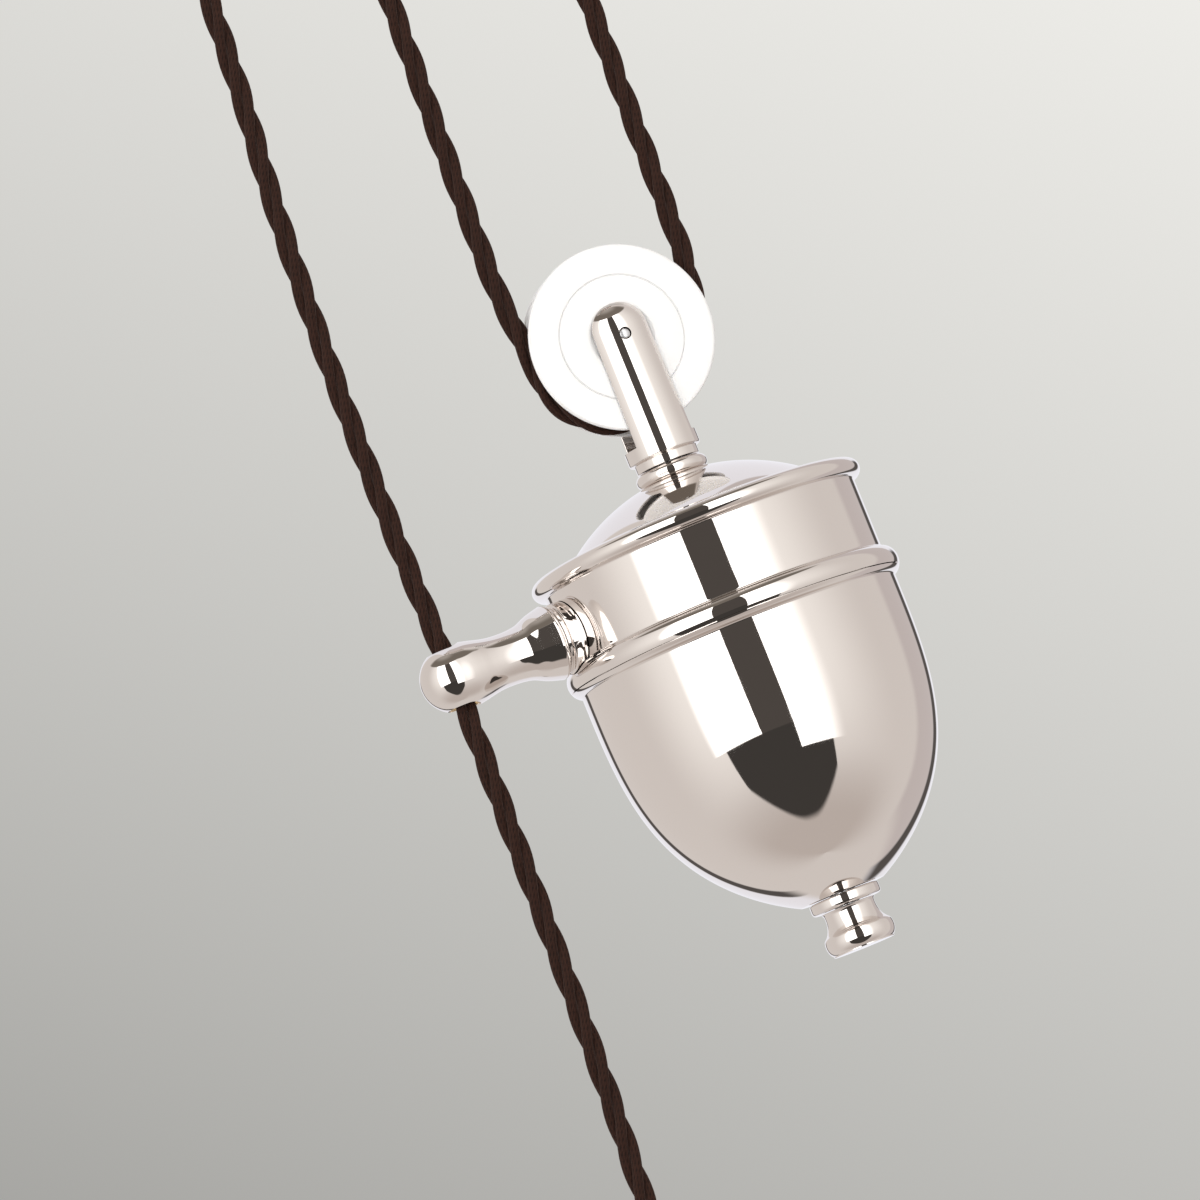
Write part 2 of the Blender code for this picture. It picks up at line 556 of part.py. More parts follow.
def suspension_cord(fabric):
    """One tube along the whole cord, ends inside the anchor and the lamp grip."""
    points = tube_points(smooth_line(CORD_ROUTE))
    curve = bpy.data.curves.new("suspension_cord", "CURVE")
    curve.dimensions = "3D"
    curve.bevel_depth = CORD_RADIUS * MM
    curve.bevel_resolution = 2
    curve.use_fill_caps = True
    spline = curve.splines.new("POLY")
    spline.points.add(len(points) - 1)
    for knot, place in zip(spline.points, points):
        knot.co = (*place, 1.0)
    curve.materials.append(fabric)
    bpy.context.scene.collection.objects.link(bpy.data.objects.new("suspension_cord", curve))


def lamp_grip(nickel, steel, brass):
    """The bell-shaped grip on the lower end, whose threaded nipple takes the lamp."""
    centre = centre_empty("lamp_grip_centre", LAMP_GRIP_CENTRE)
    bore = CORD_RADIUS + 0.6
    outline = [(0, -13.6), (bore, -13.6), (bore, 0), (5.6, 0)]
    outline += [(6.2, -0.6), (6.4, -6.0), (7.2, -12.0), (8.6, -17.0), (9.4, -20.5), (9.4, -24.0), (9.0, -24.6)]
    outline += [(5.3, -24.6), (5.3, -17.0), (0, -17.0)]
    grip = turned("lamp_grip", outline, nickel, centre, 20)
    side_screw("lamp_grip_screw", grip, centre, -6.5, (0, -1, 0), 7.1, steel)
    tube("lamp_nipple", 3.0, 5.0, -31.0, -17.3, brass, centre)


# ---------------------------------------------------------------- putting it together

def build():
    for old in list(bpy.data.objects):
        bpy.data.objects.remove(old, do_unlink=True)

    nickel = finish("polished_nickel", (0.80, 0.76, 0.73), 0.06, 1.0)
    porcelain = finish("white_porcelain", (0.92, 0.92, 0.90), 0.12, 0.0)
    brass = finish("bearing_brass", (0.72, 0.55, 0.28), 0.30, 1.0)
    steel = finish("bright_steel", (0.60, 0.60, 0.61), 0.30, 1.0)
    iron = finish("cast_ballast", (0.12, 0.12, 0.12), 0.65, 0.6)
    fabric = finish("brown_braid", (0.055, 0.026, 0.018), 0.85, 0.0)

    weight = centre_empty("weight_centre", WEIGHT_CENTRE)
    arm_place = WEIGHT_CENTRE + Vector((0, 0, ARM_HEIGHT))
    arm = centre_empty("arm_centre", arm_place, ARM_TURN)
    ceiling = centre_empty("ceiling_centre", CEILING_CENTRE)

    pulley_fork(weight, nickel, steel)
    pulley("pulley", weight, porcelain, brass, steel)
    neck_collar(weight, nickel)
    dome_lid(weight, nickel)
    body_band(weight, arm, nickel)
    ballast_bowl(weight, nickel)
    finial(weight, nickel)
    rod_and_ballast(weight, steel, iron)
    guide_arm(arm, weight, nickel, steel, brass)

    ceiling_plate(nickel)
    ceiling_bracket(ceiling, nickel, steel)
    pulley("ceiling", ceiling, porcelain, brass, steel)
    cord_anchor(nickel, steel)
    suspension_cord(fabric)
    lamp_grip(nickel, steel, brass)


build()
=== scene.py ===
import json
import math

import bpy
import numpy as np
from mathutils import Matrix, Vector

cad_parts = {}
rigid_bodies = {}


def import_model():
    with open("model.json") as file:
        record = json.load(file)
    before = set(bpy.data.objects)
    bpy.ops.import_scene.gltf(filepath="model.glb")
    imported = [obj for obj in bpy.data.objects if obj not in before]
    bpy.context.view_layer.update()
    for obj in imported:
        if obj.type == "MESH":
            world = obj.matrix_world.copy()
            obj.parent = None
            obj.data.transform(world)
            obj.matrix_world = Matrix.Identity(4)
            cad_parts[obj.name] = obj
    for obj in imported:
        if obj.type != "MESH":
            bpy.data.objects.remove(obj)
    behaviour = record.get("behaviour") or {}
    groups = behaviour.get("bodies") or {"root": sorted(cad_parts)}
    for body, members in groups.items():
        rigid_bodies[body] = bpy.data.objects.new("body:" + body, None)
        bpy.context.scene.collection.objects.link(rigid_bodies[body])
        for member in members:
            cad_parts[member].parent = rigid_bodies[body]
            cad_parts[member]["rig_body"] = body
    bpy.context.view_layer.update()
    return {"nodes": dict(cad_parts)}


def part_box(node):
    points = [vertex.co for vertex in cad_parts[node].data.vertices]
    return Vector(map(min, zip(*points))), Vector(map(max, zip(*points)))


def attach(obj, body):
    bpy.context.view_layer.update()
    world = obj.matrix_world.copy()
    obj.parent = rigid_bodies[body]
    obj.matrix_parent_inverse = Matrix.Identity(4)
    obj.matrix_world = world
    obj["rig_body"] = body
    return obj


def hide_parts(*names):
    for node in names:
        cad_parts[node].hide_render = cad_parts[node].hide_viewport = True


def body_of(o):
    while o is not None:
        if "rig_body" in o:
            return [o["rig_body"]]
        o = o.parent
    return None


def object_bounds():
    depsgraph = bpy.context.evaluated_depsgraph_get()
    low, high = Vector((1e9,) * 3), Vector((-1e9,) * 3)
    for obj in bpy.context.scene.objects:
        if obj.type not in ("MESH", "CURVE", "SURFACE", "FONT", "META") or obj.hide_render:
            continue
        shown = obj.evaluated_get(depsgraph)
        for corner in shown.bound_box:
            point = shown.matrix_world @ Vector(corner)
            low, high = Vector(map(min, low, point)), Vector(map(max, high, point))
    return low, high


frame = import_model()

mm = 0.001


def middle(node):
    low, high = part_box(node)
    return np.array((low + high) / 2) / mm


# Main centres, in millimetres like every outline below; heights on the weight count from its axle
axle = middle("pulley_wheel")
ceilingAxle = middle("ceiling_wheel")
anchorPlace = np.array((middle("cord_anchor")[0], 0.0, 0.0))
gripPlace = middle("lamp_grip") * (1, 1, 0) + (0, 0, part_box("lamp_grip")[1][2] / mm)
armTurn = math.radians(6.5)            # the guide arm stands this far off the pulleys' plane
armPlace = axle + (0, 0, -82.7)


# ---- camera

viewing = {"turn": 13.5, "below": 5.6, "roll": 22.0, "lens": 200.0, "across": 0.378,
           "aimLeft": 36.0, "aimBelow": 73.9}


def placeCamera(v):
    turn, below, roll = (math.radians(v[k]) for k in ("turn", "below", "roll"))
    ahead = Vector((math.sin(turn) * math.cos(below), math.cos(turn) * math.cos(below), math.sin(below)))
    right = Vector((math.cos(turn), -math.sin(turn), 0.0))
    up = right.cross(ahead)
    aim = Vector(axle) + right * -v["aimLeft"] + up * -v["aimBelow"] * math.cos(below)
    camRight = math.cos(roll) * right - math.sin(roll) * up
    camUp = math.sin(roll) * right + math.cos(roll) * up
    data = bpy.data.cameras.new("camera")
    data.lens = v["lens"]
    data.sensor_width = 36.0
    data.clip_start, data.clip_end = 0.05, 100.0
    camera = bpy.data.objects.new("camera", data)
    bpy.context.scene.collection.objects.link(camera)
    place = aim * mm - ahead * v["across"] * v["lens"] / data.sensor_width
    camera.matrix_world = Matrix.Translation(place) @ Matrix((camRight, camUp, -ahead)).transposed().to_4x4()
    bpy.context.scene.camera = camera
    return right, ahead, camRight, camUp


viewRight, viewAhead, camRight, camUp = placeCamera(viewing)
print("camera placed")


# ---- making meshes from grids

def surface(name, grid, wrapRows=False):
    # A grid of points (rows, columns, xyz) in mm becomes a closed skin. Columns always wrap round.
    # A row whose points all coincide becomes one point, a pole.
    rows, cols = grid.shape[:2]
    index = np.arange(rows * cols).reshape(rows, cols)
    poles = np.ptp(grid, axis=1).max(axis=1) < 1e-6
    index[poles] = index[poles, :1]
    lower = index if wrapRows else index[:-1]
    upper = np.roll(index, -1, axis=0) if wrapRows else index[1:]
    quads = np.stack([lower, np.roll(lower, -1, 1), np.roll(upper, -1, 1), upper], axis=-1).reshape(-1, 4)
    points = grid.reshape(-1, 3) * mm
    a, b, c, d = (points[quads[:, k]] for k in range(4))
    volume = (np.cross(a, b) * c).sum() + (np.cross(a, c) * d).sum()
    if volume < 0:
        quads = quads[:, ::-1]
    used, flat = np.unique(quads, return_inverse=True)
    quads = flat.reshape(quads.shape)
    faces = [[v for i, v in enumerate(q) if v != q[i - 1]] for q in quads.tolist()]
    mesh = bpy.data.meshes.new(name)
    mesh.from_pydata(points[used].tolist(), [], faces)
    return finished(name, mesh)


def finished(name, mesh):
    mesh.validate()
    mesh.shade_smooth()
    mesh.set_sharp_from_angle(angle=math.radians(34))
    piece = bpy.data.objects.new(name, mesh)
    bpy.context.scene.collection.objects.link(piece)
    return piece


def eased(corners, steps=5):
    # An outline of (radius, height, ease). A corner P with an ease is rounded on the curve
    # (1-s)^2 A + 2s(1-s) P + s^2 B, with A and B that far from it on its two sides.
    pts = np.array([(c[0], c[1]) for c in corners], float)
    eases = np.array([c[2] if len(c) > 2 else 0.0 for c in corners])
    out = []
    for i, p in enumerate(pts):
        if eases[i] == 0:
            out.append(p[None])
            continue
        before, after = pts[i - 1] - p, pts[(i + 1) % len(pts)] - p
        a = p + before * min(0.49, eases[i] / np.linalg.norm(before))
        b = p + after * min(0.49, eases[i] / np.linalg.norm(after))
        s = np.linspace(0, 1, steps + 1)[:, None]
        out.append((1 - s) ** 2 * a + 2 * s * (1 - s) * p + s ** 2 * b)
    return np.vstack(out)


def arc(r, z, wide, high, start, stop, steps=16):
    # points at (r + wide cos t, z + high sin t), t in degrees
    t = np.radians(np.linspace(start, stop, steps + 1))
    return [tuple(p) for p in np.stack([r + wide * np.cos(t), z + high * np.sin(t)], -1)]


def basis(along):
    # three unit vectors, the third along the given direction
    w = np.array(along, float)
    w /= np.linalg.norm(w)
    helper = np.array((0, 0, 1.0)) if abs(w[2]) < 0.9 else np.array((1.0, 0, 0))
    u = np.cross(helper, w)
    u /= np.linalg.norm(u)
    return np.stack([u, np.cross(w, u), w])


def spun(name, outline, place, along=(0, 0, 1), around=144, ring=True):
    # Turned on a lathe: point (r, h) of the outline goes to place + r (u cos a + v sin a) + h w
    outline = np.asarray(outline, float)
    a = np.linspace(0, 2 * np.pi, around, endpoint=False)
    u, v, w = basis(along)
    circle = np.cos(a)[:, None] * u + np.sin(a)[:, None] * v
    grid = place + outline[:, :1, None] * circle[None] + outline[:, 1:, None] * w
    return surface(name, grid, wrapRows=ring)


def carve(piece, *cutters):
    # takes the cutters out of the piece and leaves a plain mesh
    for cutter in cutters:
        boolean = piece.modifiers.new(cutter.name, "BOOLEAN")
        boolean.operation, boolean.solver, boolean.object = "DIFFERENCE", "EXACT", cutter
    bpy.context.view_layer.update()
    result = bpy.data.meshes.new_from_object(piece.evaluated_get(bpy.context.evaluated_depsgraph_get()))
    piece.modifiers.clear()
    piece.data = result
    result.shade_smooth()
    result.set_sharp_from_angle(angle=math.radians(34))
    for cutter in cutters:
        bpy.data.objects.remove(cutter)
    return piece


def drill(radius, low, high, place, along=(0, 0, 1), around=64):
    return spun("drill", [(0, high), (radius, high), (radius, low), (0, low)], place, along, around, ring=False)


def slab(low, high):
    # a plain block between two corners, as a cutter
    (x0, y0, z0), (x1, y1, z1) = low, high
    square = np.array([(x0, y0), (x1, y0), (x1, y1), (x0, y1)], float)
    centre = square.mean(0)
    rows = [np.column_stack([s, np.full(4, z)]) for s, z in
            ((square * 0 + centre, z0), (square, z0), (square, z1), (square * 0 + centre, z1))]
    return surface("block", np.array(rows))


def settle(piece, body, slot, material, *nodes):
    piece.data.materials.clear()
    piece.data.materials.append(material)
    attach(piece, body)
    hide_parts(*nodes)
    return piece


# ---- materials

def newMaterial(name, colour, roughness, metallic=0.0):
    material = bpy.data.materials.new(name)
    material.use_nodes = True
    tree = material.node_tree
    shader = tree.nodes["Principled BSDF"]
    shader.inputs["Base Color"].default_value = (*colour, 1.0)
    shader.inputs["Roughness"].default_value = roughness
    shader.inputs["Metallic"].default_value = metallic
    return material, tree, shader


def node(tree, kind, **settings):
    made = tree.nodes.new(kind)
    for key, value in settings.items():
        if key in made.inputs:
            made.inputs[key].default_value = value
        else:
            setattr(made, key, value)
    return made


def noise(tree, scale, detail=3.0, stretch=(1, 1, 1)):
    # noise on Object coordinates, in metres, so scale counts per metre
    place = node(tree, "ShaderNodeTexCoord")
    mapping = node(tree, "ShaderNodeMapping", Scale=stretch)
    made = node(tree, "ShaderNodeTexNoise", Scale=scale, Detail=detail)
    tree.links.new(place.outputs["Object"], mapping.inputs["Vector"])
    tree.links.new(mapping.outputs["Vector"], made.inputs["Vector"])
    return made.outputs["Fac"]


def ramp(tree, source, low, high, outLow, outHigh):
    made = node(tree, "ShaderNodeMapRange")
    for key, value in zip(("From Min", "From Max", "To Min", "To Max"), (low, high, outLow, outHigh)):
        made.inputs[key].default_value = value
    tree.links.new(source, made.inputs["Value"])
    return made.outputs["Result"]


def tint(tree, shader, source, dark, light):
    mix = node(tree, "ShaderNodeMix", data_type="RGBA")
    mix.inputs[6].default_value = (*dark, 1.0)
    mix.inputs[7].default_value = (*light, 1.0)
    tree.links.new(source, mix.inputs[0])
    tree.links.new(mix.outputs[2], shader.inputs["Base Color"])


def bump(tree, shader, source, distance, strength=1.0):
    made = node(tree, "ShaderNodeBump", Distance=distance, Strength=strength)
    tree.links.new(source, made.inputs["Height"])
    tree.links.new(made.outputs["Normal"], shader.inputs["Normal"])


finishes = {
    "nickel": {"colour": (0.80, 0.755, 0.725), "smear": (0.012, 0.05), "patch": 60.0},
    "porcelain": {"dark": (0.93, 0.93, 0.925), "light": (0.97, 0.97, 0.97), "patch": 45.0},
    "brass": {"dark": (0.60, 0.43, 0.20), "light": (0.78, 0.60, 0.32)},
    "steel": {"dark": (0.46, 0.46, 0.47), "light": (0.66, 0.66, 0.67)},
    "iron": {"dark": (0.035, 0.034, 0.033), "light": (0.11, 0.105, 0.10)},
    "braid": {"dark": (0.010, 0.0042, 0.0028), "light": (0.048, 0.0185, 0.0115),
              "carriers": 9.0, "pitch": 0.0042},
}


def polishedNickel(f):
    # a mirror whose gloss changes a little where it has been handled, over faint polishing lines
    material, tree, shader = newMaterial("polishedNickel", f["colour"], 0.03, 1.0)
    tree.links.new(ramp(tree, noise(tree, f["patch"]), 0.35, 0.75, *f["smear"]), shader.inputs["Roughness"])
    bump(tree, shader, noise(tree, 900.0, 2.0, (1, 1, 0.25)), 0.000004, 0.35)
    return material


def whitePorcelain(f):
    # glazed, with the glaze pooling a little
    material, tree, shader = newMaterial("whitePorcelain", f["light"], 0.12)
    shader.inputs["Coat Weight"].default_value = 0.6
    shader.inputs["Coat Roughness"].default_value = 0.05
    shader.inputs["Subsurface Weight"].default_value = 0.08
    shader.inputs["Subsurface Radius"].default_value = (0.002, 0.0018, 0.0015)
    tint(tree, shader, noise(tree, f["patch"]), f["dark"], f["light"])
    bump(tree, shader, noise(tree, 220.0, 2.0), 0.00002, 0.4)
    return material


def turnedMetal(name, f, roughness, stretch):
    # tool marks as noise drawn out along the cut
    material, tree, shader = newMaterial(name, f["light"], roughness, 1.0)
    marks = noise(tree, 700.0, 4.0, stretch)
    tint(tree, shader, marks, f["dark"], f["light"])
    tree.links.new(ramp(tree, marks, 0.3, 0.7, roughness - 0.08, roughness + 0.1), shader.inputs["Roughness"])
    bump(tree, shader, marks, 0.00002, 0.5)
    return material


def castIron(f):
    material, tree, shader = newMaterial("castIron", f["light"], 0.7, 0.4)
    grain = noise(tree, 380.0, 6.0)
    tint(tree, shader, grain, f["dark"], f["light"])
    tree.links.new(ramp(tree, grain, 0.3, 0.7, 0.55, 0.85), shader.inputs["Roughness"])
    bump(tree, shader, grain, 0.0004, 0.7)
    return material


def calc(tree, operation, a, b=None, c=None):
    made = node(tree, "ShaderNodeMath", operation=operation)
    for socket, value in zip(made.inputs, (a, b, c)):
        if value is None:
            continue
        if isinstance(value, (int, float)):
            socket.default_value = value
        else:
            tree.links.new(value, socket)
    return made.outputs[0]


def brownBraid(f):
    # Two sets of yarns cross on the strand's UV map: u runs round it and v along it in metres.
    # Each set is a wave of (carriers u +- v / pitch), and the higher one shows.
    material, tree, shader = newMaterial("brownBraid", f["light"], 0.82)
    shader.inputs["Sheen Weight"].default_value = 0.12
    shader.inputs["Sheen Roughness"].default_value = 0.4
    shader.inputs["Sheen Tint"].default_value = (0.55, 0.36, 0.28, 1.0)
    shader.inputs["Specular IOR Level"].default_value = 0.2
    place = node(tree, "ShaderNodeUVMap", uv_map="along")
    split = node(tree, "ShaderNodeSeparateXYZ")
    tree.links.new(place.outputs["UV"], split.inputs["Vector"])
    round_ = calc(tree, "MULTIPLY", split.outputs["X"], f["carriers"])
    along = calc(tree, "DIVIDE", split.outputs["Y"], f["pitch"])
    waves = []
    for sign in ("ADD", "SUBTRACT"):
        turn = calc(tree, "MULTIPLY", calc(tree, sign, round_, along), 2 * math.pi)
        waves.append(calc(tree, "SINE", turn))
    weave = calc(tree, "MULTIPLY_ADD", calc(tree, "MAXIMUM", *waves), 0.5, 0.5)
    fuzz = noise(tree, 1500.0, 4.0)
    patchy = noise(tree, 160.0, 2.0)
    # Painted shade: the tint follows the yarn height, darker in the troughs between yarns and lighter on the crests,
    # over random fuzz and patchy tone.
    yarnToneAndTroughShade = calc(tree, "ADD", calc(tree, "MULTIPLY", weave, 0.45), calc(tree, "MULTIPLY", fuzz, 0.4))
    yarnToneAndTroughShade = calc(tree, "ADD", yarnToneAndTroughShade, calc(tree, "MULTIPLY", patchy, 0.25))
    tint(tree, shader, ramp(tree, yarnToneAndTroughShade, 0.25, 0.95, 0.0, 1.0), f["dark"], f["light"])
    bump(tree, shader, calc(tree, "ADD", weave, calc(tree, "MULTIPLY", fuzz, 0.6)), 0.00018, 0.8)
    return material


nickel = polishedNickel(finishes["nickel"])
porcelain = whitePorcelain(finishes["porcelain"])
brass = turnedMetal("turnedBrass", finishes["brass"], 0.28, (1, 1, 6))
steel = turnedMetal("turnedSteel", finishes["steel"], 0.30, (1, 1, 6))
iron = castIron(finishes["iron"])
braid = brownBraid(finishes["braid"])
print("materials made")


# ---- the cord: three covered cores twisted together

cordPlan = {"diameter": 7.2, "strand": 3.3, "lay": 48.0, "phase": 0.0, "step": 1.0, "around": 22}

# The cord's middle line in metres, from the ceiling anchor down round the weight's pulley,
# up over the ceiling wheel and down through the guide arm to the lamp.
cordRoute = (
    (0.0566, 0.0000, -0.0130), (0.0564, 0.0000, -0.0360), (0.0557, 0.0000, -0.0710),
    (0.0549, 0.0000, -0.1110), (0.0536, 0.0000, -0.1560), (0.0525, 0.0000, -0.1950),
    (0.0516, 0.0000, -0.2060), (0.0500, 0.0000, -0.2165), (0.0476, 0.0000, -0.2272),
    (0.0436, 0.0000, -0.2350), (0.0376, 0.0000, -0.2410), (0.0302, 0.0000, -0.2448),
    (0.0220, 0.0000, -0.2466), (0.0131, 0.0000, -0.2460), (0.0040, 0.0000, -0.2422),
    (-0.0026, 0.0000, -0.2356), (-0.0060, 0.0000, -0.2272), (-0.0067, 0.0000, -0.2165),
    (-0.0076, 0.0000, -0.2060), (-0.0085, 0.0000, -0.1950), (-0.0077, 0.0000, -0.1560),
    (-0.0060, 0.0000, -0.1120), (-0.0047, 0.0000, -0.0750), (-0.0042, 0.0000, -0.0530),
    (-0.0046, 0.0000, -0.0410), (-0.0066, 0.0000, -0.0320), (-0.0106, 0.0000, -0.0254),
    (-0.0163, 0.0000, -0.0204), (-0.0234, 0.0000, -0.0171), (-0.0312, 0.0000, -0.0159),
    (-0.0390, 0.0000, -0.0171), (-0.0461, 0.0000, -0.0204), (-0.0518, 0.0000, -0.0254),
    (-0.0558, 0.0000, -0.0320), (-0.0578, -0.0001, -0.0410), (-0.0584, -0.0006, -0.0530),
    (-0.0596, -0.0015, -0.0725), (-0.0624, -0.0029, -0.1120), (-0.0656, -0.0043, -0.1440),
    (-0.0689, -0.0067, -0.2010), (-0.0702, -0.0090, -0.2510), (-0.0702, -0.0103, -0.2860),
    (-0.0702, -0.0105, -0.3015), (-0.0702, -0.0106, -0.3170), (-0.0709, -0.0109, -0.3460),
    (-0.0722, -0.0115, -0.3960), (-0.0736, -0.0119, -0.4360), (-0.0752, -0.0122, -0.4660),
    (-0.0761, -0.0124, -0.4840), (-0.0761, -0.0124, -0.4970),
)


def smoothLine(route, between=24):
    # a smooth curve through the route's points (Catmull-Rom, its knots spaced by root distance)
    p = np.array(route) / mm
    p = np.vstack([2 * p[0] - p[1], p, 2 * p[-1] - p[-2]])
    k = np.concatenate([[0], np.cumsum(np.sqrt(np.linalg.norm(np.diff(p, axis=0), axis=1)))])
    a, b, c, d = (p[i:len(p) - 3 + i, None] for i in range(4))
    ka, kb, kc, kd = (k[i:len(k) - 3 + i, None, None] for i in range(4))
    t = kb + (kc - kb) * (np.arange(between) / between)[None, :, None]
    ab = a + (b - a) * (t - ka) / (kb - ka)
    bc = b + (c - b) * (t - kb) / (kc - kb)
    cd = c + (d - c) * (t - kc) / (kd - kc)
    first = ab + (bc - ab) * (t - ka) / (kc - ka)
    second = bc + (cd - bc) * (t - kb) / (kd - kb)
    line = (first + (second - first) * (t - kb) / (kc - kb)).reshape(-1, 3)
    return np.vstack([line, p[-2]])


def evenly(line, step):
    # the line's points at even distances, and each one's distance from the start
    run = np.concatenate([[0], np.cumsum(np.linalg.norm(np.diff(line, axis=0), axis=1))])
    s = np.linspace(0, run[-1], int(run[-1] / step) + 1)
    return np.stack([np.interp(s, run, line[:, i]) for i in range(3)], -1), s


def twistedCord(plan):
    # Strand k's middle runs at path + a (n cos t + b sin t), t = 2 pi (s / lay + k / 3), with n and b
    # square to the path; its skin is a ring round that middle, square to the strand's own run.
    path, s = evenly(smoothLine(cordRoute), plan["step"])
    t = np.gradient(path, axis=0)
    t /= np.linalg.norm(t, axis=1)[:, None]
    b = np.array((0, 1.0, 0)) - t * t[:, 1:2]
    b /= np.linalg.norm(b, axis=1)[:, None]
    n = np.cross(b, t)
    radius = plan["strand"] / 2
    reach = plan["diameter"] / 2 - radius
    ring = np.linspace(0, 2 * np.pi, plan["around"], endpoint=False)
    strands = []
    for k in range(3):
        turn = (2 * np.pi * (s / plan["lay"] + k / 3) + plan["phase"])[:, None]
        out = n * np.cos(turn) + b * np.sin(turn)
        core = path + reach * out
        run = np.gradient(core, axis=0)
        run /= np.linalg.norm(run, axis=1)[:, None]
        out = out - run * (out * run).sum(1)[:, None]
        out /= np.linalg.norm(out, axis=1)[:, None]
        side = np.cross(run, out)
        skin = core[:, None] + radius * (np.cos(ring)[:, None] * out[:, None] + np.sin(ring)[:, None] * side[:, None])
        ends = [np.repeat(core[i:i + 1, None], len(ring), 1) for i in (0, -1)]
        strand = surface(f"strand{k}", np.vstack([ends[0], skin, ends[1]]))
        addCordMap(strand.data, s, len(ring))
        strands.append(strand)
    return strands, path, s[-1]


def addCordMap(mesh, s, around):
    # u runs round the strand and v along it in metres, worked out from each corner's own grid place
    corners = np.zeros(len(mesh.loops), np.int64)
    mesh.loops.foreach_get("vertex_index", corners)
    row = np.clip((corners - 1) // around, 0, len(s) - 1)
    col = (corners - 1) % around
    starts = np.zeros(len(mesh.polygons), np.int64)
    totals = np.zeros(len(mesh.polygons), np.int64)
    mesh.polygons.foreach_get("loop_start", starts)
    mesh.polygons.foreach_get("loop_total", totals)
    face = np.repeat(np.arange(len(starts)), totals)
    high = np.zeros(len(starts), np.int64)
    np.maximum.at(high, face, col)
    col = np.where((high[face] == around - 1) & (col == 0), around, col)
    layer = mesh.uv_layers.new(name="along")
    layer.data.foreach_set("uv", np.stack([col / around, s[row] * mm], -1).reshape(-1).astype(np.float32))


def joined(name, pieces):
    # several closed skins in one mesh
    with bpy.context.temp_override(active_object=pieces[0], selected_editable_objects=pieces):
        bpy.ops.object.join()
    pieces[0].name = name
    pieces[0].data.name = name
    return pieces[0]


strands, cordPath, cordLength = twistedCord(cordPlan)
cord = settle(joined("twistedCord", strands), "fitting", "brown_braid", braid, "suspension_cord")
cord.visible_glossy = False            # keeps its mirror image off the polished body
print("cord made", round(cordLength), "mm long")


# ---- outlines shared by the polished body's pieces

body = {
    "bandRadius": 52.1, "beadCentre": 52.0, "upperBead": (-65.2, 3.3, 3.1), "lowerBead": (-96.4, 3.8, 4.6),
    "seam": -98.6, "lidFoot": -67.6, "bowlRadius": 52.8, "bowlTop": -100.0, "bowlDepth": 92.5,
    "bowlFoot": -187.5, "fullness": 3.25, "roundness": 1.35, "wall": 3.0,
    "domeRadius": 63.6, "domeCentre": -109.8, "domeEdge": 44.6,
}


def bandSide(b, grown=0.0):
    # the band's outer side from the top: bead, cylinder, bead down to the seam
    z, wide, high = b["upperBead"]
    side = arc(b["beadCentre"], z, wide + grown, high + grown, 150, -74, 26)
    side.append((b["bandRadius"] + grown, z - high - grown, 0.7))
    z, wide, high = b["lowerBead"]
    side.append((b["bandRadius"] + grown, z + high + grown, 0.8))
    last = math.degrees(math.asin((b["seam"] - z) / high))
    return side + arc(b["beadCentre"], z, wide + grown, high + grown, 74, last, 22)


def bowlSide(b, heights, inset=0.0):
    # r = R (1 - t^fullness)^(1 / roundness), where t is the depth under the bowl's top over its whole depth
    t = np.clip((b["bowlTop"] - heights) / (b["bowlDepth"] - inset), 0, 1)
    return (b["bowlRadius"] - inset) * (1 - t ** b["fullness"]) ** (1 / b["roundness"])


def domeSide(b, radii, inset=0.0):
    return b["domeCentre"] + np.sqrt((b["domeRadius"] - inset) ** 2 - radii ** 2)


def makeBody(b):
    band = bandSide(b) + [(49.0, b["seam"], 0.3), (49.0, -71.2, 0.5), (45.6, -70.6, 0.4), (45.6, -67.9, 0.3),
                          (49.0, -67.9), (49.0, -62.9, 0.4)]
    bandPiece = spun("bodyBand", eased(band), axle, around=200)
    out = np.array((-math.cos(armTurn), -math.sin(armTurn), 0))
    carve(bandPiece, drill(3.3, 40, 60, armPlace, out))
    settle(bandPiece, "fitting", "polished_nickel", nickel, "body_band")

    z, wide, high = b["lowerBead"]
    first = math.degrees(math.asin((b["seam"] - 0.3 - z) / high))
    bowl = [(45.7, b["seam"] + 4.5, 0.3), (48.7, b["seam"] + 4.5, 0.4), (48.7, b["seam"] - 0.3)]
    bowl += arc(b["beadCentre"], z, wide, high, first, -70, 12) + [(52.8, z - high - 0.15, 0.5)]
    heights = -102.0 - 85.5 * np.sin(np.linspace(0, np.pi / 2, 90))
    bowl += list(zip(bowlSide(b, heights), heights)) + [(4.6, b["bowlFoot"]), (4.6, b["bowlFoot"] + 3.5, 0.3)]
    inner = np.linspace(-183.0, -137.0, 24)
    bowl += list(zip(bowlSide(b, inner, b["wall"]), inner)) + [(45.7, -120.0, 2.0)]
    bowlPiece = spun("ballastBowl", eased(bowl), axle, around=200)
    settle(bowlPiece, "bowl", "polished_nickel", nickel, "ballast_bowl")

    radii = np.linspace(12.4, b["domeEdge"], 44)
    lid = [(4.3, -47.6, 0.2)] + list(zip(radii, domeSide(b, radii)))
    lid += [(48.7, lid[-1][1], 0.5), (48.7, b["lidFoot"], 0.3), (41.6, b["lidFoot"], 0.3)]
    radii = np.linspace(41.6, 12.4, 30)
    lid += list(zip(radii, domeSide(b, radii, b["wall"])))[1:] + [(4.3, -50.6, 0.2)]
    settle(spun("domeLid", eased(lid), axle, around=200), "fitting", "polished_nickel", nickel, "dome_lid")

    collar = [(4.3, -42.6, 0.2), (8.6, -42.6)] + arc(9.6, -44.95, 2.2, 2.35, 88, -88, 22)
    collar += [(8.6, -47.3), (4.3, -47.3, 0.2)]
    settle(spun("neckCollar", eased(collar), axle), "fitting", "polished_nickel", nickel, "neck_collar")


makeBody(body)
print("body made")


# ---- fork

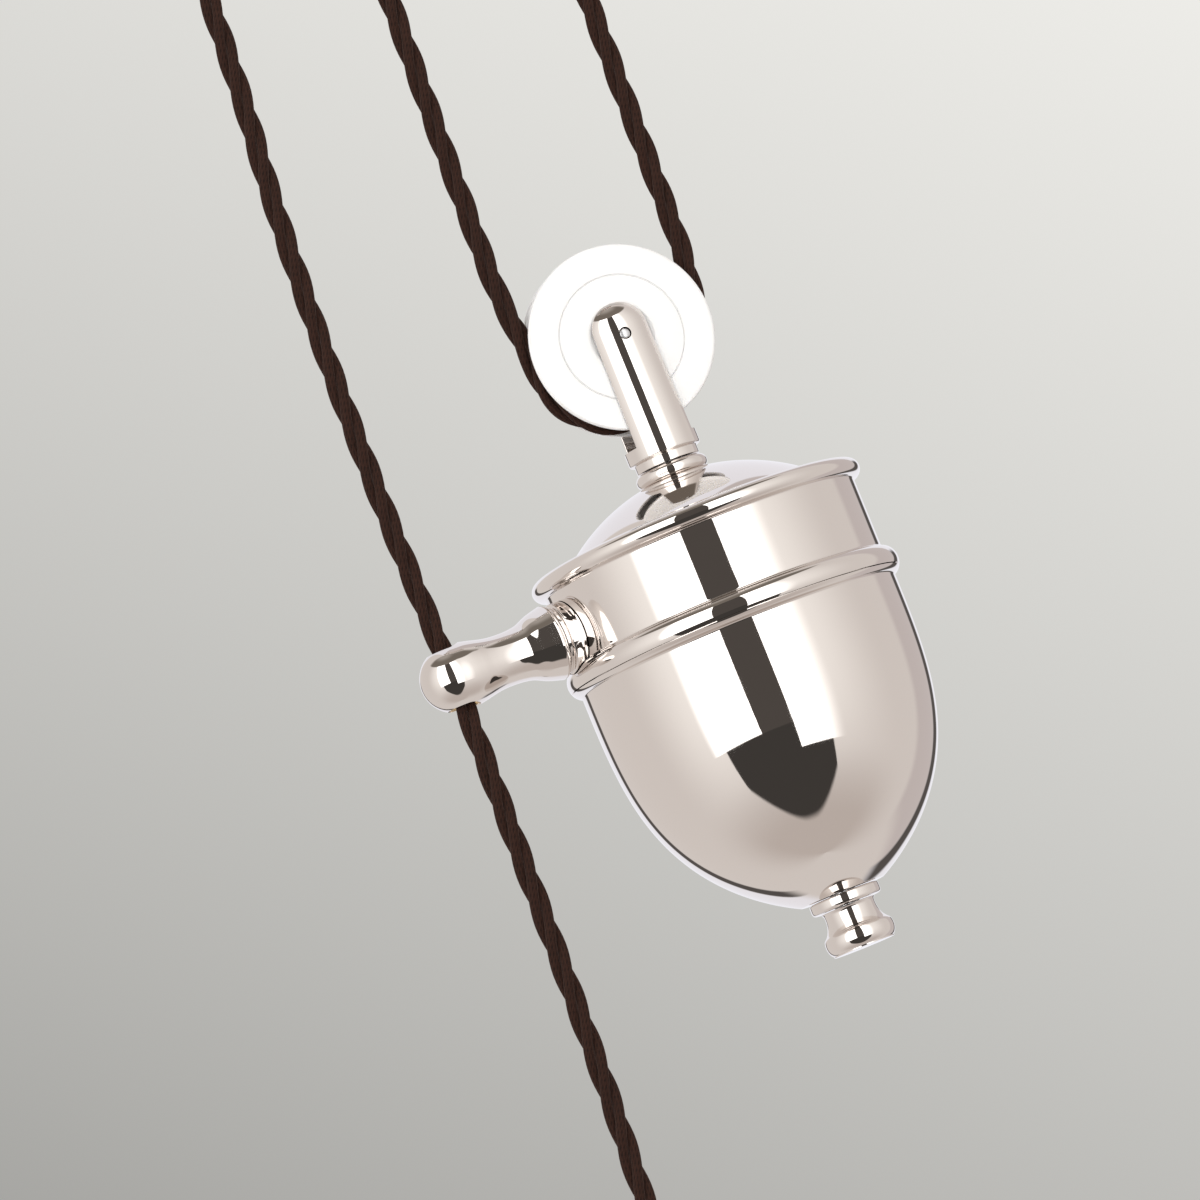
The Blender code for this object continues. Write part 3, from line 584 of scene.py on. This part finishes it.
fork = {"top": 13.8, "topRadius": 11.5, "footRadius": 11.9, "dome": 11.5, "slot": 6.7, "floor": -34.8,
        "shoulder": -39.1, "neck": 10.4, "foot": -42.3, "ease": 0.35}


def forkLeg(f, side):
    # At each height the leg is the part of a circle of radius R past the slot's wall, its corners eased:
    # the circle and the wall are both drawn in by the ease, and every corner swung round that far outside.
    domeFoot = f["top"] - f["dome"]
    tip = math.acos((f["slot"] + f["ease"]) / (f["topRadius"] - f["ease"]))
    swing = np.linspace(0, tip, 34)[1:]
    domed = domeFoot + (f["dome"] - f["ease"]) * np.sin(swing)
    heights = np.concatenate([np.linspace(f["floor"], domeFoot, 40), domed])
    slope = (heights[:40] - f["floor"]) / (domeFoot - f["floor"])
    straight = f["footRadius"] + (f["topRadius"] - f["footRadius"]) * slope - f["ease"]
    radius = np.concatenate([straight, (f["topRadius"] - f["ease"]) * np.cos(swing)])
    wall = f["slot"] + f["ease"]
    open_ = np.arccos(np.clip(wall / radius, -1, 1))
    across = radius * np.sin(open_)
    q, count = f["ease"], 9
    parts = []
    flat = np.linspace(-1, 1, 9)
    parts.append(np.stack([flat * across[:, None], np.full((len(radius), 9), wall - q)], -1))
    turn = -np.pi / 2 + (np.pi / 2 + (np.pi / 2 - open_))[:, None] * np.linspace(0, 1, count)[None, 1:]
    parts.append(np.stack([across[:, None] + q * np.cos(turn), wall + q * np.sin(turn)], -1))
    sweep = (np.pi / 2 - open_)[:, None] + 2 * open_[:, None] * np.linspace(0, 1, 61)[None, 1:]
    parts.append(np.stack([(radius[:, None] + q) * np.cos(sweep), (radius[:, None] + q) * np.sin(sweep)], -1))
    turn = (np.pi / 2 + open_)[:, None] + (np.pi - open_)[:, None] * np.linspace(0, 1, count)[None, 1:-1]
    parts.append(np.stack([-across[:, None] + q * np.cos(turn), wall + q * np.sin(turn)], -1))
    outline = np.concatenate(parts, axis=1)
    grid = np.concatenate([outline, np.broadcast_to(heights[:, None, None], outline.shape[:2] + (1,))], -1)
    ends = [np.repeat(grid[i:i + 1].mean(1, keepdims=True), grid.shape[1], 1) for i in (0, -1)]
    grid = np.concatenate([ends[0], grid, ends[1]]) * (side, side, 1)
    leg = surface("leg", axle + grid)
    return carve(leg, drill(2.0, 5, 14, axle, (0, side, 0)))


def makeFork(f):
    base = [(0, f["floor"]), (f["footRadius"], f["floor"], 0.0), (f["footRadius"], f["shoulder"] + 0.2, 0.7),
            (f["footRadius"] - 0.4, f["shoulder"] - 0.25, 0.3), (f["neck"], f["shoulder"] - 0.4, 0.4),
            (f["neck"], f["foot"], 0.3), (4.3, f["foot"], 0.2), (4.3, -37.1), (0, -37.1)]
    foot = spun("forkFoot", eased(base), axle, ring=False)
    whole = joined("pulleyFork", [forkLeg(f, 1), forkLeg(f, -1), foot])
    settle(whole, "fitting", "polished_nickel", nickel, "pulley_fork")


def makePin(name, place, reach, nodeName):
    # a pin with slightly domed ends
    end = arc(0, reach - 0.5, 1.7, 0.45, 88, 0, 8)
    outline = [(0, reach - 0.05)] + end + [(r, -z) for r, z in reversed(end)] + [(0, -reach + 0.05)]
    pin = spun(name, outline, place, (0, 1, 0), 48, ring=False)
    settle(pin, "fitting", "bright_steel", steel, nodeName)


makeFork(fork)
makePin("pulleyPin", axle, 11.3, "pulley_axle")
makePin("ceilingPin", ceilingAxle, 10.3, "ceiling_axle")
print("fork made")


# ---- wheels

wheel = {"radius": 30.0, "half": 6.2, "path": 25.0, "round": 4.3, "hub": 4.2, "hubHalf": 5.6, "line": 20.0}


def makeWheel(w, name, place, bodyName, nodeName):
    # hub, face with a fine turned line, eased rim, and a round groove between the two flanges
    upper = [(w["hub"], w["hubHalf"], 0.2), (9.2, w["hubHalf"], 0.8), (10.4, w["half"], 0.6)]
    upper += [(w["line"] - 0.3, w["half"], 0.1), (w["line"], w["half"] - 0.6, 0.05)]
    upper.append((w["line"] + 0.3, w["half"], 0.1))
    upper += [(w["radius"], w["half"], 1.1), (w["radius"] - 0.2, w["round"] + 0.3, 0.5)]
    groove = arc(w["path"], 0, w["round"], w["round"], 84, 276, 30)
    outline = upper + groove + [(c[0], -c[1], *c[2:]) for c in reversed(upper)]
    settle(spun(name, eased(outline), place, (0, 1, 0), 160), bodyName, "white_porcelain", porcelain, nodeName)


makeWheel(wheel, "porcelainWheel", axle, "pulley", "pulley_wheel")
makeWheel(wheel, "ceilingPorcelainWheel", ceilingAxle, "ceiling_wheel", "ceiling_wheel")
print("wheels made")


# ---- finial

def makeFinial():
    disc = [(4.3, -187.9, 0.2), (11.5, -187.9, 0.8), (11.5, -191.6, 1.3), (4.3, -191.6, 0.2)]
    settle(spun("finialDisc", eased(disc), axle), "finial", "polished_nickel", nickel, "finial_disc")
    side = [(9.0, -191.9, 0.4), (8.3, -192.8, 0.5), (8.3, -194.8, 1.2), (8.75, -196.8, 1.2), (9.7, -198.7, 1.5)]
    belly = arc(8.8, -201.9, 2.6, 3.9, 30, -64, 18)
    outline = [(0, -200.0), (4.3, -200.0, 0.2), (4.3, -191.9, 0.2)] + side + belly
    outline += [(10.1, -205.8, 0.25), (0, -205.8)]
    settle(spun("finialKnob", eased(outline), axle, ring=False), "finial", "polished_nickel", nickel, "finial")


makeFinial()


# ---- guide arm

arm = {"back": 57.3, "ball": 92.8, "ballRadius": 10.5, "bore": 5.3, "stud": 3.3}


def makeArm(a):
    out = np.array((-math.cos(armTurn), -math.sin(armTurn), 0))
    side = [(10.75, 63.6), (9.0, 67.9), (8.4, 71.6), (8.3, 75.0), (8.45, 78.2), (8.95, 81.4), (9.75, 84.9)]
    # a smooth curve through the flare and waist, met by the ball's arc
    knots = np.array([(12.05, 58.8, 0), *[(r, h, 0) for r, h in side], (10.35, 88.4, 0), (10.5, 92.8, 0)]) * mm
    flare = smoothLine(knots, 10)[:, :2]
    outline = [(0, a["back"]), (10.9, a["back"], 0.3)] + arc(10.9, a["back"] + 1.5, 1.15, 1.5, -60, -6, 6)
    outline += [tuple(p) for p in flare[:-1]] + arc(0, a["ball"], a["ballRadius"], a["ballRadius"], 0, 89, 30)
    outline.append((0, a["ball"] + a["ballRadius"]))
    armPiece = spun("guideArm", eased(outline), armPlace, out, 128, ring=False)
    bore = armPlace + out * a["ball"]
    carve(armPiece, drill(a["bore"], -20, 20, bore), drill(a["stud"], 50, 68, armPlace, out))
    settle(armPiece, "fitting", "polished_nickel", nickel, "guide_arm")
    liner = [(4.3, 8.8, 0.5), (5.0, 8.8, 0.15), (5.0, -8.8, 0.15), (4.3, -8.8, 0.5)]
    settle(spun("guideLiner", eased(liner), bore, around=72), "fitting", "bearing_brass", brass, "guide_bush")

    boss = [(3.3, 57.0), (10.7, 57.0, 0.3), (10.7, 55.9, 0.2), (11.6, 55.6, 0.45), (11.6, 46), (3.3, 46)]
    bossPiece = spun("armBoss", eased(boss), armPlace, out, 128)
    saddle = bandSide(body, 0.3)
    saddle = [(0, saddle[0][1])] + saddle + [(0, saddle[-1][1])]
    carve(bossPiece, spun("saddle", eased(saddle), axle, around=200, ring=False))
    settle(bossPiece, "fitting", "polished_nickel", nickel, "arm_boss")


makeArm(arm)
print("finial and arm made")


# ---- the rod, the ballast and the small fastenings

def turnedRing(name, nodeName, finish, span, radii, place, along=(0, 0, 1), ease=0.25):
    # a ring between two heights and two radii, every edge eased
    (low, high), (inner, outer) = span, radii
    outline = [(inner, high, ease), (outer, high, ease), (outer, low, ease), (inner, low, ease)]
    piece = spun(name, eased(outline, 4), place, along, 112)
    return settle(piece, body_of(frame["nodes"][nodeName])[0], *finish, nodeName)


def makeNut(name, nodeName, across, hole, span, place, along=(0, 0, 1)):
    # At angle a the side stands at the nearer of the flat, across / 2 / cos(a off the flat's middle),
    # and a 30 degree cone that turns the corners down toward each face
    a = np.linspace(0, 2 * np.pi, 144, endpoint=False)
    flat = across / 2 / np.cos((a + np.pi / 6) % (np.pi / 3) - np.pi / 6)
    centre, half = sum(span) / 2, (span[1] - span[0]) / 2
    heights = list(half * np.sin(np.linspace(-np.pi / 2, np.pi / 2, 33)))
    radii = [np.minimum(flat, 0.485 * across + (half - abs(h)) * 1.73) for h in heights]
    for r, h in ((hole + 0.4, half), (hole, half - 0.4), (hole, 0.4 - half), (hole + 0.4, -half)):
        radii.append(np.full(144, r))
        heights.append(h)
    u, v, w = basis(along)
    circle = np.cos(a)[:, None] * u + np.sin(a)[:, None] * v
    grid = place + np.array(radii)[:, :, None] * circle[None] + (np.array(heights) + centre)[:, None, None] * w
    return settle(surface(name, grid, wrapRows=True), "fitting", "bright_steel", steel, nodeName)


def makeScrew(name, nodeName, head, shank, tip, place, along):
    # a slotted cheese head with a domed face, its slot cut across
    outline = [(0, head + 2.0)] + arc(0, head + 1.4, 2.8, 0.6, 80, 0, 10) + [(2.8, head, 0.2), (shank, head, 0.15)]
    outline += [(shank, tip + 0.3), (shank - 0.3, tip), (0, tip)]
    screw = spun(name, eased(outline), place, along, 72, ring=False)
    u, v, w = basis(along)
    mid = np.array(place) + w * (head + 1.9)
    reach = 3.2 * np.abs(u) + 0.38 * np.abs(v) + 0.9 * np.abs(w)
    carve(screw, slab(mid - reach, mid + reach))
    return settle(screw, "fitting", "bright_steel", steel, nodeName)


def threaded(name, radius, bore, low, high, pitch, depth, place):
    # a tube with a helical thread: r = radius - depth tri(z / pitch - a / 2 pi), fading out at both ends
    a = np.linspace(0, 2 * np.pi, 72, endpoint=False)
    z = np.arange(low, high + 0.01, pitch / 8)
    wave = np.abs(2 * ((z[:, None] / pitch - a[None] / (2 * np.pi)) % 1) - 1)
    lead = np.clip(np.minimum(z - low, high - z) / 0.8, 0, 1)[:, None]
    r = radius - depth * (1 - lead * (1 - wave))
    r = np.vstack([r, np.full((2, 72), bore)])
    z = np.append(z, (high, low))
    grid = np.stack([r * np.cos(a), r * np.sin(a), np.broadcast_to(z[:, None], r.shape)], -1)
    return surface(name, place + grid, wrapRows=True)


rodPlan = {"radius": 4.0, "top": -37.4, "foot": -199.5, "hole": 4.3, "nut": 13.0,
           "discs": (44.5, 44.5, 42.0, 36.0), "discTop": -100.2, "discStep": 15.8}


def makeBallast(r):
    steelFinish, ironFinish = ("bright_steel", steel), ("cast_ballast", iron)
    top, foot, rad = r["top"], r["foot"], r["radius"]
    rodLine = [(0, top), (rad, top, 0.6), (rad, foot, 0.6), (0, foot)]
    rodPiece = spun("tieRod", eased(rodLine), axle, around=96, ring=False)
    settle(rodPiece, "fitting", "bright_steel", steel, "tie_rod")
    turnedRing("lidWasher", "lid_washer", steelFinish, (-52.6, -50.9), (r["hole"], 10.5), axle)
    makeNut("lidNut", "lid_nut", r["nut"], r["hole"], (-59.4, -52.9), axle)
    turnedRing("spacerSleeve", "spacer_sleeve", steelFinish, (-99.9, -59.7), (r["hole"], 8.0), axle)
    high = r["discTop"]
    for k, radius in enumerate(r["discs"], 1):
        span = (high - r["discStep"] + 0.3, high)
        turnedRing(f"ballastDisc{k}", f"ballast_disc_{k}", ironFinish, span, (r["hole"], radius), axle, ease=1.4)
        high -= r["discStep"]
    turnedRing("ballastWasher", "ballast_washer", steelFinish, (high - 1.8, high), (r["hole"], 12.0), axle)
    makeNut("ballastNut", "ballast_nut", r["nut"], r["hole"], (high - 8.6, high - 2.1), axle)


def makeFastenings():
    out = np.array((-math.cos(armTurn), -math.sin(armTurn), 0))
    studLine = [(0, 66.5), (3.0, 66.5, 0.5), (3.0, 40.6, 0.5), (0, 40.6)]
    studPiece = spun("armStud", eased(studLine), armPlace, out, 72, ring=False)
    settle(studPiece, "fitting", "bright_steel", steel, "arm_stud")
    turnedRing("armWasher", "arm_washer", ("bright_steel", steel), (46.4, 47.9), (3.3, 7.5), armPlace, out)
    makeNut("armNut", "arm_nut", 10.0, 3.3, (41.2, 46.1), armPlace, out)
    for prefix, place in (("pulley", axle), ("ceiling", ceilingAxle)):
        turnedRing(prefix + "Bush", prefix + "_bush", ("bearing_brass", brass),
                   (-5.5, 5.5), (2.0, 3.9), place, (0, 1, 0))
        for side, low, high in (("front", -6.4, -5.9), ("rear", 5.9, 6.4)):
            turnedRing(f"{prefix}Washer{side.title()}", f"{prefix}_washer_{side}", ("bright_steel", steel),
                       (low, high), (2.0, 5.5), place, (0, 1, 0), 0.12)


makeBallast(rodPlan)
makeFastenings()
print("rod, ballast and fastenings made")


# ---- ceiling fitting and lamp grip

ceiling = {"length": 140.0, "width": 36.0, "thick": 5.0, "screws": (-60.0, 22.0), "bracketHole": 2.3,
           "anchorHole": 4.3, "strap": 16.0, "strapThick": 2.6, "strapTop": 35.7, "bend": 2.0, "slot": 6.7}


def makePlate(c):
    # each row is a straight-sided oval; the rows step round the lower edge's quarter circle
    a = np.linspace(0, 2 * np.pi, 160, endpoint=False)
    straight = (c["length"] - c["width"]) / 2
    bend = np.radians(np.linspace(0, 90, 9))
    edge = [(0.0, -0.4), (0.35, -0.05), (0.6, 0.0)]
    rows = [(c["width"] / 2 - inset, z) for inset, z in reversed(edge)]
    rows += [(c["width"] / 2 - 2.2 + 2.2 * math.cos(t), -c["thick"] + 2.2 - 2.2 * math.sin(t)) for t in bend]
    ends = straight * np.sign(np.cos(a))
    rings = [np.column_stack([r * np.cos(a) + ends, r * np.sin(a), np.full(160, z)]) for r, z in rows]
    upper, under = (np.tile((0.0, 0.0, z), (160, 1)) for z in (0.0, -c["thick"]))
    plate = surface("ceilingPlate", np.array([upper, *rings, under]))
    low = -c["thick"]
    sinks = [spun("sink", [(0, 2), (2.3, 2), (2.3, low + 2.2), (4.8, low - 0.3), (4.8, low - 2), (0, low - 2)],
                  (x, 0, 0), ring=False, around=64) for x in c["screws"]]
    holes = [drill(c["bracketHole"], -9, 2, (ceilingAxle[0], 0, 0)), drill(c["anchorHole"], -9, 2, anchorPlace)]
    carve(plate, *sinks, *holes)
    settle(plate, "fitting", "polished_nickel", nickel, "ceiling_plate")


def makeBracket(c):
    # A strap swept along a U: down one leg, round the bends, down the other. Its half width is the
    # strap's, and past the axle sqrt(w^2 - t^2) at t below it, so each leg ends in a half circle.
    half, thick = c["strap"] / 2, c["strapThick"] / 2
    leg, top, bend = c["slot"] + thick, c["strapTop"] - thick, c["bend"]
    tail = -half * np.cos(np.linspace(0.03, np.pi / 2, 24))
    up = np.concatenate([tail, np.linspace(0, top - bend, 14)[1:]])
    quarter = np.linspace(0, np.pi / 2, 9)[1:]
    side = np.column_stack([np.full(len(up), -leg), up])
    corner = np.column_stack([-leg + bend - bend * np.cos(quarter), top - bend + bend * np.sin(quarter)])
    path = np.vstack([side, corner])
    path = np.vstack([path, path[::-1] * (-1, 1)])
    run = np.gradient(path, axis=0)
    run /= np.linalg.norm(run, axis=1)[:, None]
    normal = np.column_stack([-run[:, 1], run[:, 0]])
    wide = np.where(path[:, 1] < 0, np.sqrt(np.maximum(half ** 2 - path[:, 1] ** 2, 0)), half)
    t = np.radians(np.concatenate([np.linspace(q, q + 90, 5) for q in (0, 90, 180, 270)]))
    signs = np.repeat([(1, 1), (-1, 1), (-1, -1), (1, -1)], 5, axis=0)
    rows = []
    for (y, z), (ny, nz), w in zip(path, normal, wide):
        e = min(0.45, w * 0.8)
        x = signs[:, 0] * (w - e) + e * np.cos(t)
        n = signs[:, 1] * (thick - e) + e * np.sin(t)
        rows.append(np.column_stack([x, y + n * ny, z + n * nz]))
    ends = [np.tile(rows[i].mean(0), (20, 1)) for i in (0, -1)]
    strap = surface("ceilingBracket", ceilingAxle + np.array([ends[0], *rows, ends[1]]))
    carve(strap, drill(2.0, -20, 20, ceilingAxle, (0, 1, 0)), drill(2.3, 30, 40, ceilingAxle))
    settle(strap, "fitting", "polished_nickel", nickel, "ceiling_bracket")

    head = c["strapTop"] - c["strapThick"] - 0.3
    outline = [(0, head + 7.4), (1.7, head + 7.4), (2.0, head + 7.1), (2.0, head), (4.0, head, 0.2)]
    outline += [(4.0, head - 0.6, 0.3), (3.2, head - 1.3, 0.3), (0, head - 1.5)]
    screw = spun("bracketScrew", eased(outline), ceilingAxle, ring=False, around=72)
    low = ceilingAxle + (-4.5, -0.45, head - 2.0)
    carve(screw, slab(low, low + (9.0, 0.9, 1.2)))
    settle(screw, "fitting", "bright_steel", steel, "bracket_screw")


def makeGrips():
    cup = [(0, -0.8), (4.0, -0.8, 0.4), (4.0, -5.3), (8.0, -5.3, 0.5)]
    cup += [(8.0, -7.4, 0.15), (7.6, -7.9, 0.15), (8.0, -8.4, 0.15)]
    cup += arc(5.8, -24.0, 2.2, 5.0, 0, -88, 20) + [(4.2, -29.0, 0.3), (4.2, -11.0, 0.3), (0, -11.0)]
    anchor = spun("cordAnchor", eased(cup), anchorPlace, around=128, ring=False)
    carve(anchor, drill(1.8, 2.6, 13, anchorPlace + (0, 0, -17.0), (1, 0, 0)))
    settle(anchor, "fitting", "polished_nickel", nickel, "cord_anchor")
    makeScrew("anchorScrew", "anchor_screw", 8.3, 1.5, 4.1, anchorPlace + (0, 0, -17.0), (1, 0, 0))

    knots = [(6.15, -0.7), (6.4, -6.0), (7.2, -12.0), (8.6, -17.0), (9.35, -20.5), (9.4, -22.0)]
    flank = smoothLine(np.array([(r, h, 0) for r, h in knots]) * mm, 8)[:, :2]
    bell = [(0, -13.6), (4.2, -13.6, 0.3), (4.2, 0, 0.4), (5.7, 0, 0.5)] + [tuple(p) for p in flank]
    bell += [(9.4, -24.0, 0.6), (9.0, -24.6, 0.3), (5.3, -24.6, 0.3), (5.3, -17.0), (0, -17.0)]
    grip = spun("lampGrip", eased(bell), gripPlace, around=128, ring=False)
    carve(grip, drill(1.8, 2.6, 12.1, gripPlace + (0, 0, -6.5), (0, -1, 0)))
    settle(grip, "fitting", "polished_nickel", nickel, "lamp_grip")
    gripScrew = makeScrew("lampGripScrew", "lamp_grip_screw", 7.4, 1.5, 4.1, gripPlace + (0, 0, -6.5), (0, -1, 0))
    nipple = threaded("lampNipple", 5.0, 3.0, -31.0, -17.3, 1.0, 0.5, gripPlace)
    settle(nipple, "fitting", "bearing_brass", brass, "lamp_nipple")
    for piece in (grip, gripScrew, nipple):
        piece.visible_glossy = False
    return grip, gripScrew, nipple


makePlate(ceiling)
makeBracket(ceiling)
onCord = makeGrips()
print("ceiling fitting and lamp grip made")


# ---- background, floor and studio light

def makeStage():
    data = bpy.data.meshes.new("floor")
    a = np.linspace(0, 2 * np.pi, 96, endpoint=False)
    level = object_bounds()[0][2] - 0.16
    rim = np.column_stack([2.6 * np.cos(a), 2.6 * np.sin(a), np.full(96, level)])
    data.from_pydata(rim.tolist(), [], [list(range(96))])
    floor = bpy.data.objects.new("floor", data)
    bpy.context.scene.collection.objects.link(floor)
    material, tree, shader = newMaterial("paleFloor", (0.62, 0.61, 0.60), 0.9)
    tint(tree, shader, noise(tree, 3.0), (0.60, 0.59, 0.58), (0.64, 0.63, 0.62))
    data.materials.append(material)
    floor.visible_glossy = False


studio = {
    "tent": (0.75, 0.705, 0.675), "glow": (1.12, 1.09, 1.05), "white": (2.6, 2.58, 2.55),
    "slot": (0.085, 0.075, 0.068),
    "opening": (0.055, 0.050, 0.046), "roof": (0.20, 0.175, 0.15), "roofFar": (0.42, 0.385, 0.35),
    "seam": (0.10, 0.09, 0.085), "back": (0.93, 0.93, 0.99), "farSide": (0.62, 0.565, 0.555),
    "low": (0.58, 0.52, 0.485),
    "backdropShadedSide": (0.381, 0.377, 0.360), "backdropLitSide": (0.853, 0.845, 0.812),
}


def makeStudio(s):
    # The light is a pale tent with a soft light either side of its front slot. It is drawn by direction:
    # azimuth from the tent's front and height, in degrees. The backdrop that the camera sees is a soft grey
    # with painted light falloff: lighter along one tilted direction, darker along the other.
    world = bpy.data.worlds.new("studio")
    bpy.context.scene.world = world
    world.use_nodes = True
    tree = world.node_tree
    tree.nodes.clear()
    place = node(tree, "ShaderNodeTexCoord")

    def along(direction):
        dot = node(tree, "ShaderNodeVectorMath", operation="DOT_PRODUCT")
        dot.inputs[1].default_value = direction
        tree.links.new(place.outputs["Generated"], dot.inputs[0])
        return dot.outputs["Value"]

    front = Vector((-viewAhead.x, -viewAhead.y, 0)).normalized()
    azimuth = calc(tree, "MULTIPLY", calc(tree, "ARCTAN2", along(viewRight), along(front)), 180 / math.pi)
    height = calc(tree, "MULTIPLY", calc(tree, "ARCSINE", along((0, 0, 1))), 180 / math.pi)

    def step(source, low, high):
        made = node(tree, "ShaderNodeMapRange", interpolation_type="SMOOTHSTEP")
        made.inputs["From Min"].default_value, made.inputs["From Max"].default_value = low, high
        tree.links.new(source, made.inputs["Value"])
        return made.outputs["Result"]

    def window(source, a, b, c, d):
        # rises from a to b and falls from c to d
        return calc(tree, "MULTIPLY", step(source, a, b), calc(tree, "SUBTRACT", 1.0, step(source, c, d)))

    def layer(colour, below, mask):
        mix = node(tree, "ShaderNodeMix", data_type="RGBA")
        mix.inputs[7].default_value = (*colour, 1.0)
        tree.links.new(mask, mix.inputs[0])
        if isinstance(below, tuple):
            mix.inputs[6].default_value = (*below, 1.0)
        else:
            tree.links.new(below, mix.inputs[6])
        return mix.outputs[2]

    def both(*masks):
        whole = masks[0]
        for mask in masks[1:]:
            whole = calc(tree, "MULTIPLY", whole, mask)
        return whole

    def outside(mask):
        return calc(tree, "SUBTRACT", 1.0, mask)

    spread = calc(tree, "ABSOLUTE", azimuth)
    frontHalf = outside(step(spread, 85, 110))
    light = layer(s["farSide"], s["tent"], both(window(azimuth, 118, 126, 170, 180), step(height, -52, -36)))
    sides = calc(tree, "MAXIMUM", window(azimuth, 12, 13, 30, 100), window(azimuth, -95, -40, -13, -12))
    light = layer(s["glow"], light, both(sides, step(height, -50, 10)))
    light = layer(s["low"], light, both(outside(step(height, -66, -26)), outside(step(spread, 70, 130))))
    light = layer(s["roofFar"], light, both(step(height, 50, 54), frontHalf))
    light = layer(s["roof"], light, both(window(height, 50, 53, 64, 82), frontHalf))
    light = layer(s["roof"], light, both(window(height, 20, 25, 78, 86), step(spread, 170, 174)))
    # the two soft lights, fading outwards
    left = both(window(azimuth, -52, -42, -11.6, -11.2), window(height, -14.5, -14, 51, 52.5))
    right = both(window(azimuth, 12.2, 12.6, 22, 50), window(height, -25.5, -25, 51, 52.5))
    light = layer(s["white"], light, calc(tree, "MAXIMUM", left, right))
    gap = both(window(azimuth, -11.6, -11.2, 12.2, 12.6), window(height, -26, -24, 51, 52))
    light = layer(s["slot"], light, gap)
    # the dark opening under the lights narrows to a rounded tip
    rise = calc(tree, "POWER", calc(tree, "DIVIDE", spread, 40.0), 2.6)
    low = calc(tree, "MULTIPLY_ADD", rise, 30.0, -64.0)
    tip = step(calc(tree, "SUBTRACT", height, low), -3.0, 3.0)
    opening = both(window(azimuth, -41, -40, 37, 38), tip, outside(step(height, -14.6, -14.2)))
    cover = both(step(azimuth, 12.2, 12.6), window(height, -25.5, -25, -14.6, -14.2))
    light = layer(s["opening"], light, both(opening, outside(cover)))
    # behind: a pale edge past a dark line on the left, and a dark line on the right, lower down
    highEnough = step(height, -54, -40)
    seamHeight = window(height, -54, -40, 7, 14)
    light = layer(s["back"], light, both(outside(step(azimuth, -156, -154)), highEnough))
    light = layer(s["seam"], light, both(window(azimuth, -156, -154, -149, -147), seamHeight))
    light = layer(s["back"], light, both(step(azimuth, 151, 153), highEnough))
    light = layer(s["seam"], light, both(window(azimuth, 150, 153, 160, 164), seamHeight))

    # Painted light falloff on the backdrop: lighter along this tilted direction, darker against it.
    paintedFalloffAxis = along(0.38 * camRight + 0.93 * camUp)
    backdrop = layer(s["backdropLitSide"], s["backdropShadedSide"], ramp(tree, paintedFalloffAxis, -0.12, 0.12, 0.0, 1.0))
    rays = node(tree, "ShaderNodeLightPath")
    pick = node(tree, "ShaderNodeMix", data_type="RGBA")
    tree.links.new(rays.outputs["Is Camera Ray"], pick.inputs[0])
    tree.links.new(light, pick.inputs[6])
    tree.links.new(backdrop, pick.inputs[7])
    background = node(tree, "ShaderNodeBackground")
    output = node(tree, "ShaderNodeOutputWorld")
    tree.links.new(pick.outputs[2], background.inputs["Color"])
    tree.links.new(background.outputs["Background"], output.inputs["Surface"])


makeStage()
makeStudio(studio)
bpy.context.scene.view_settings.view_transform = "Standard"
print("studio made")
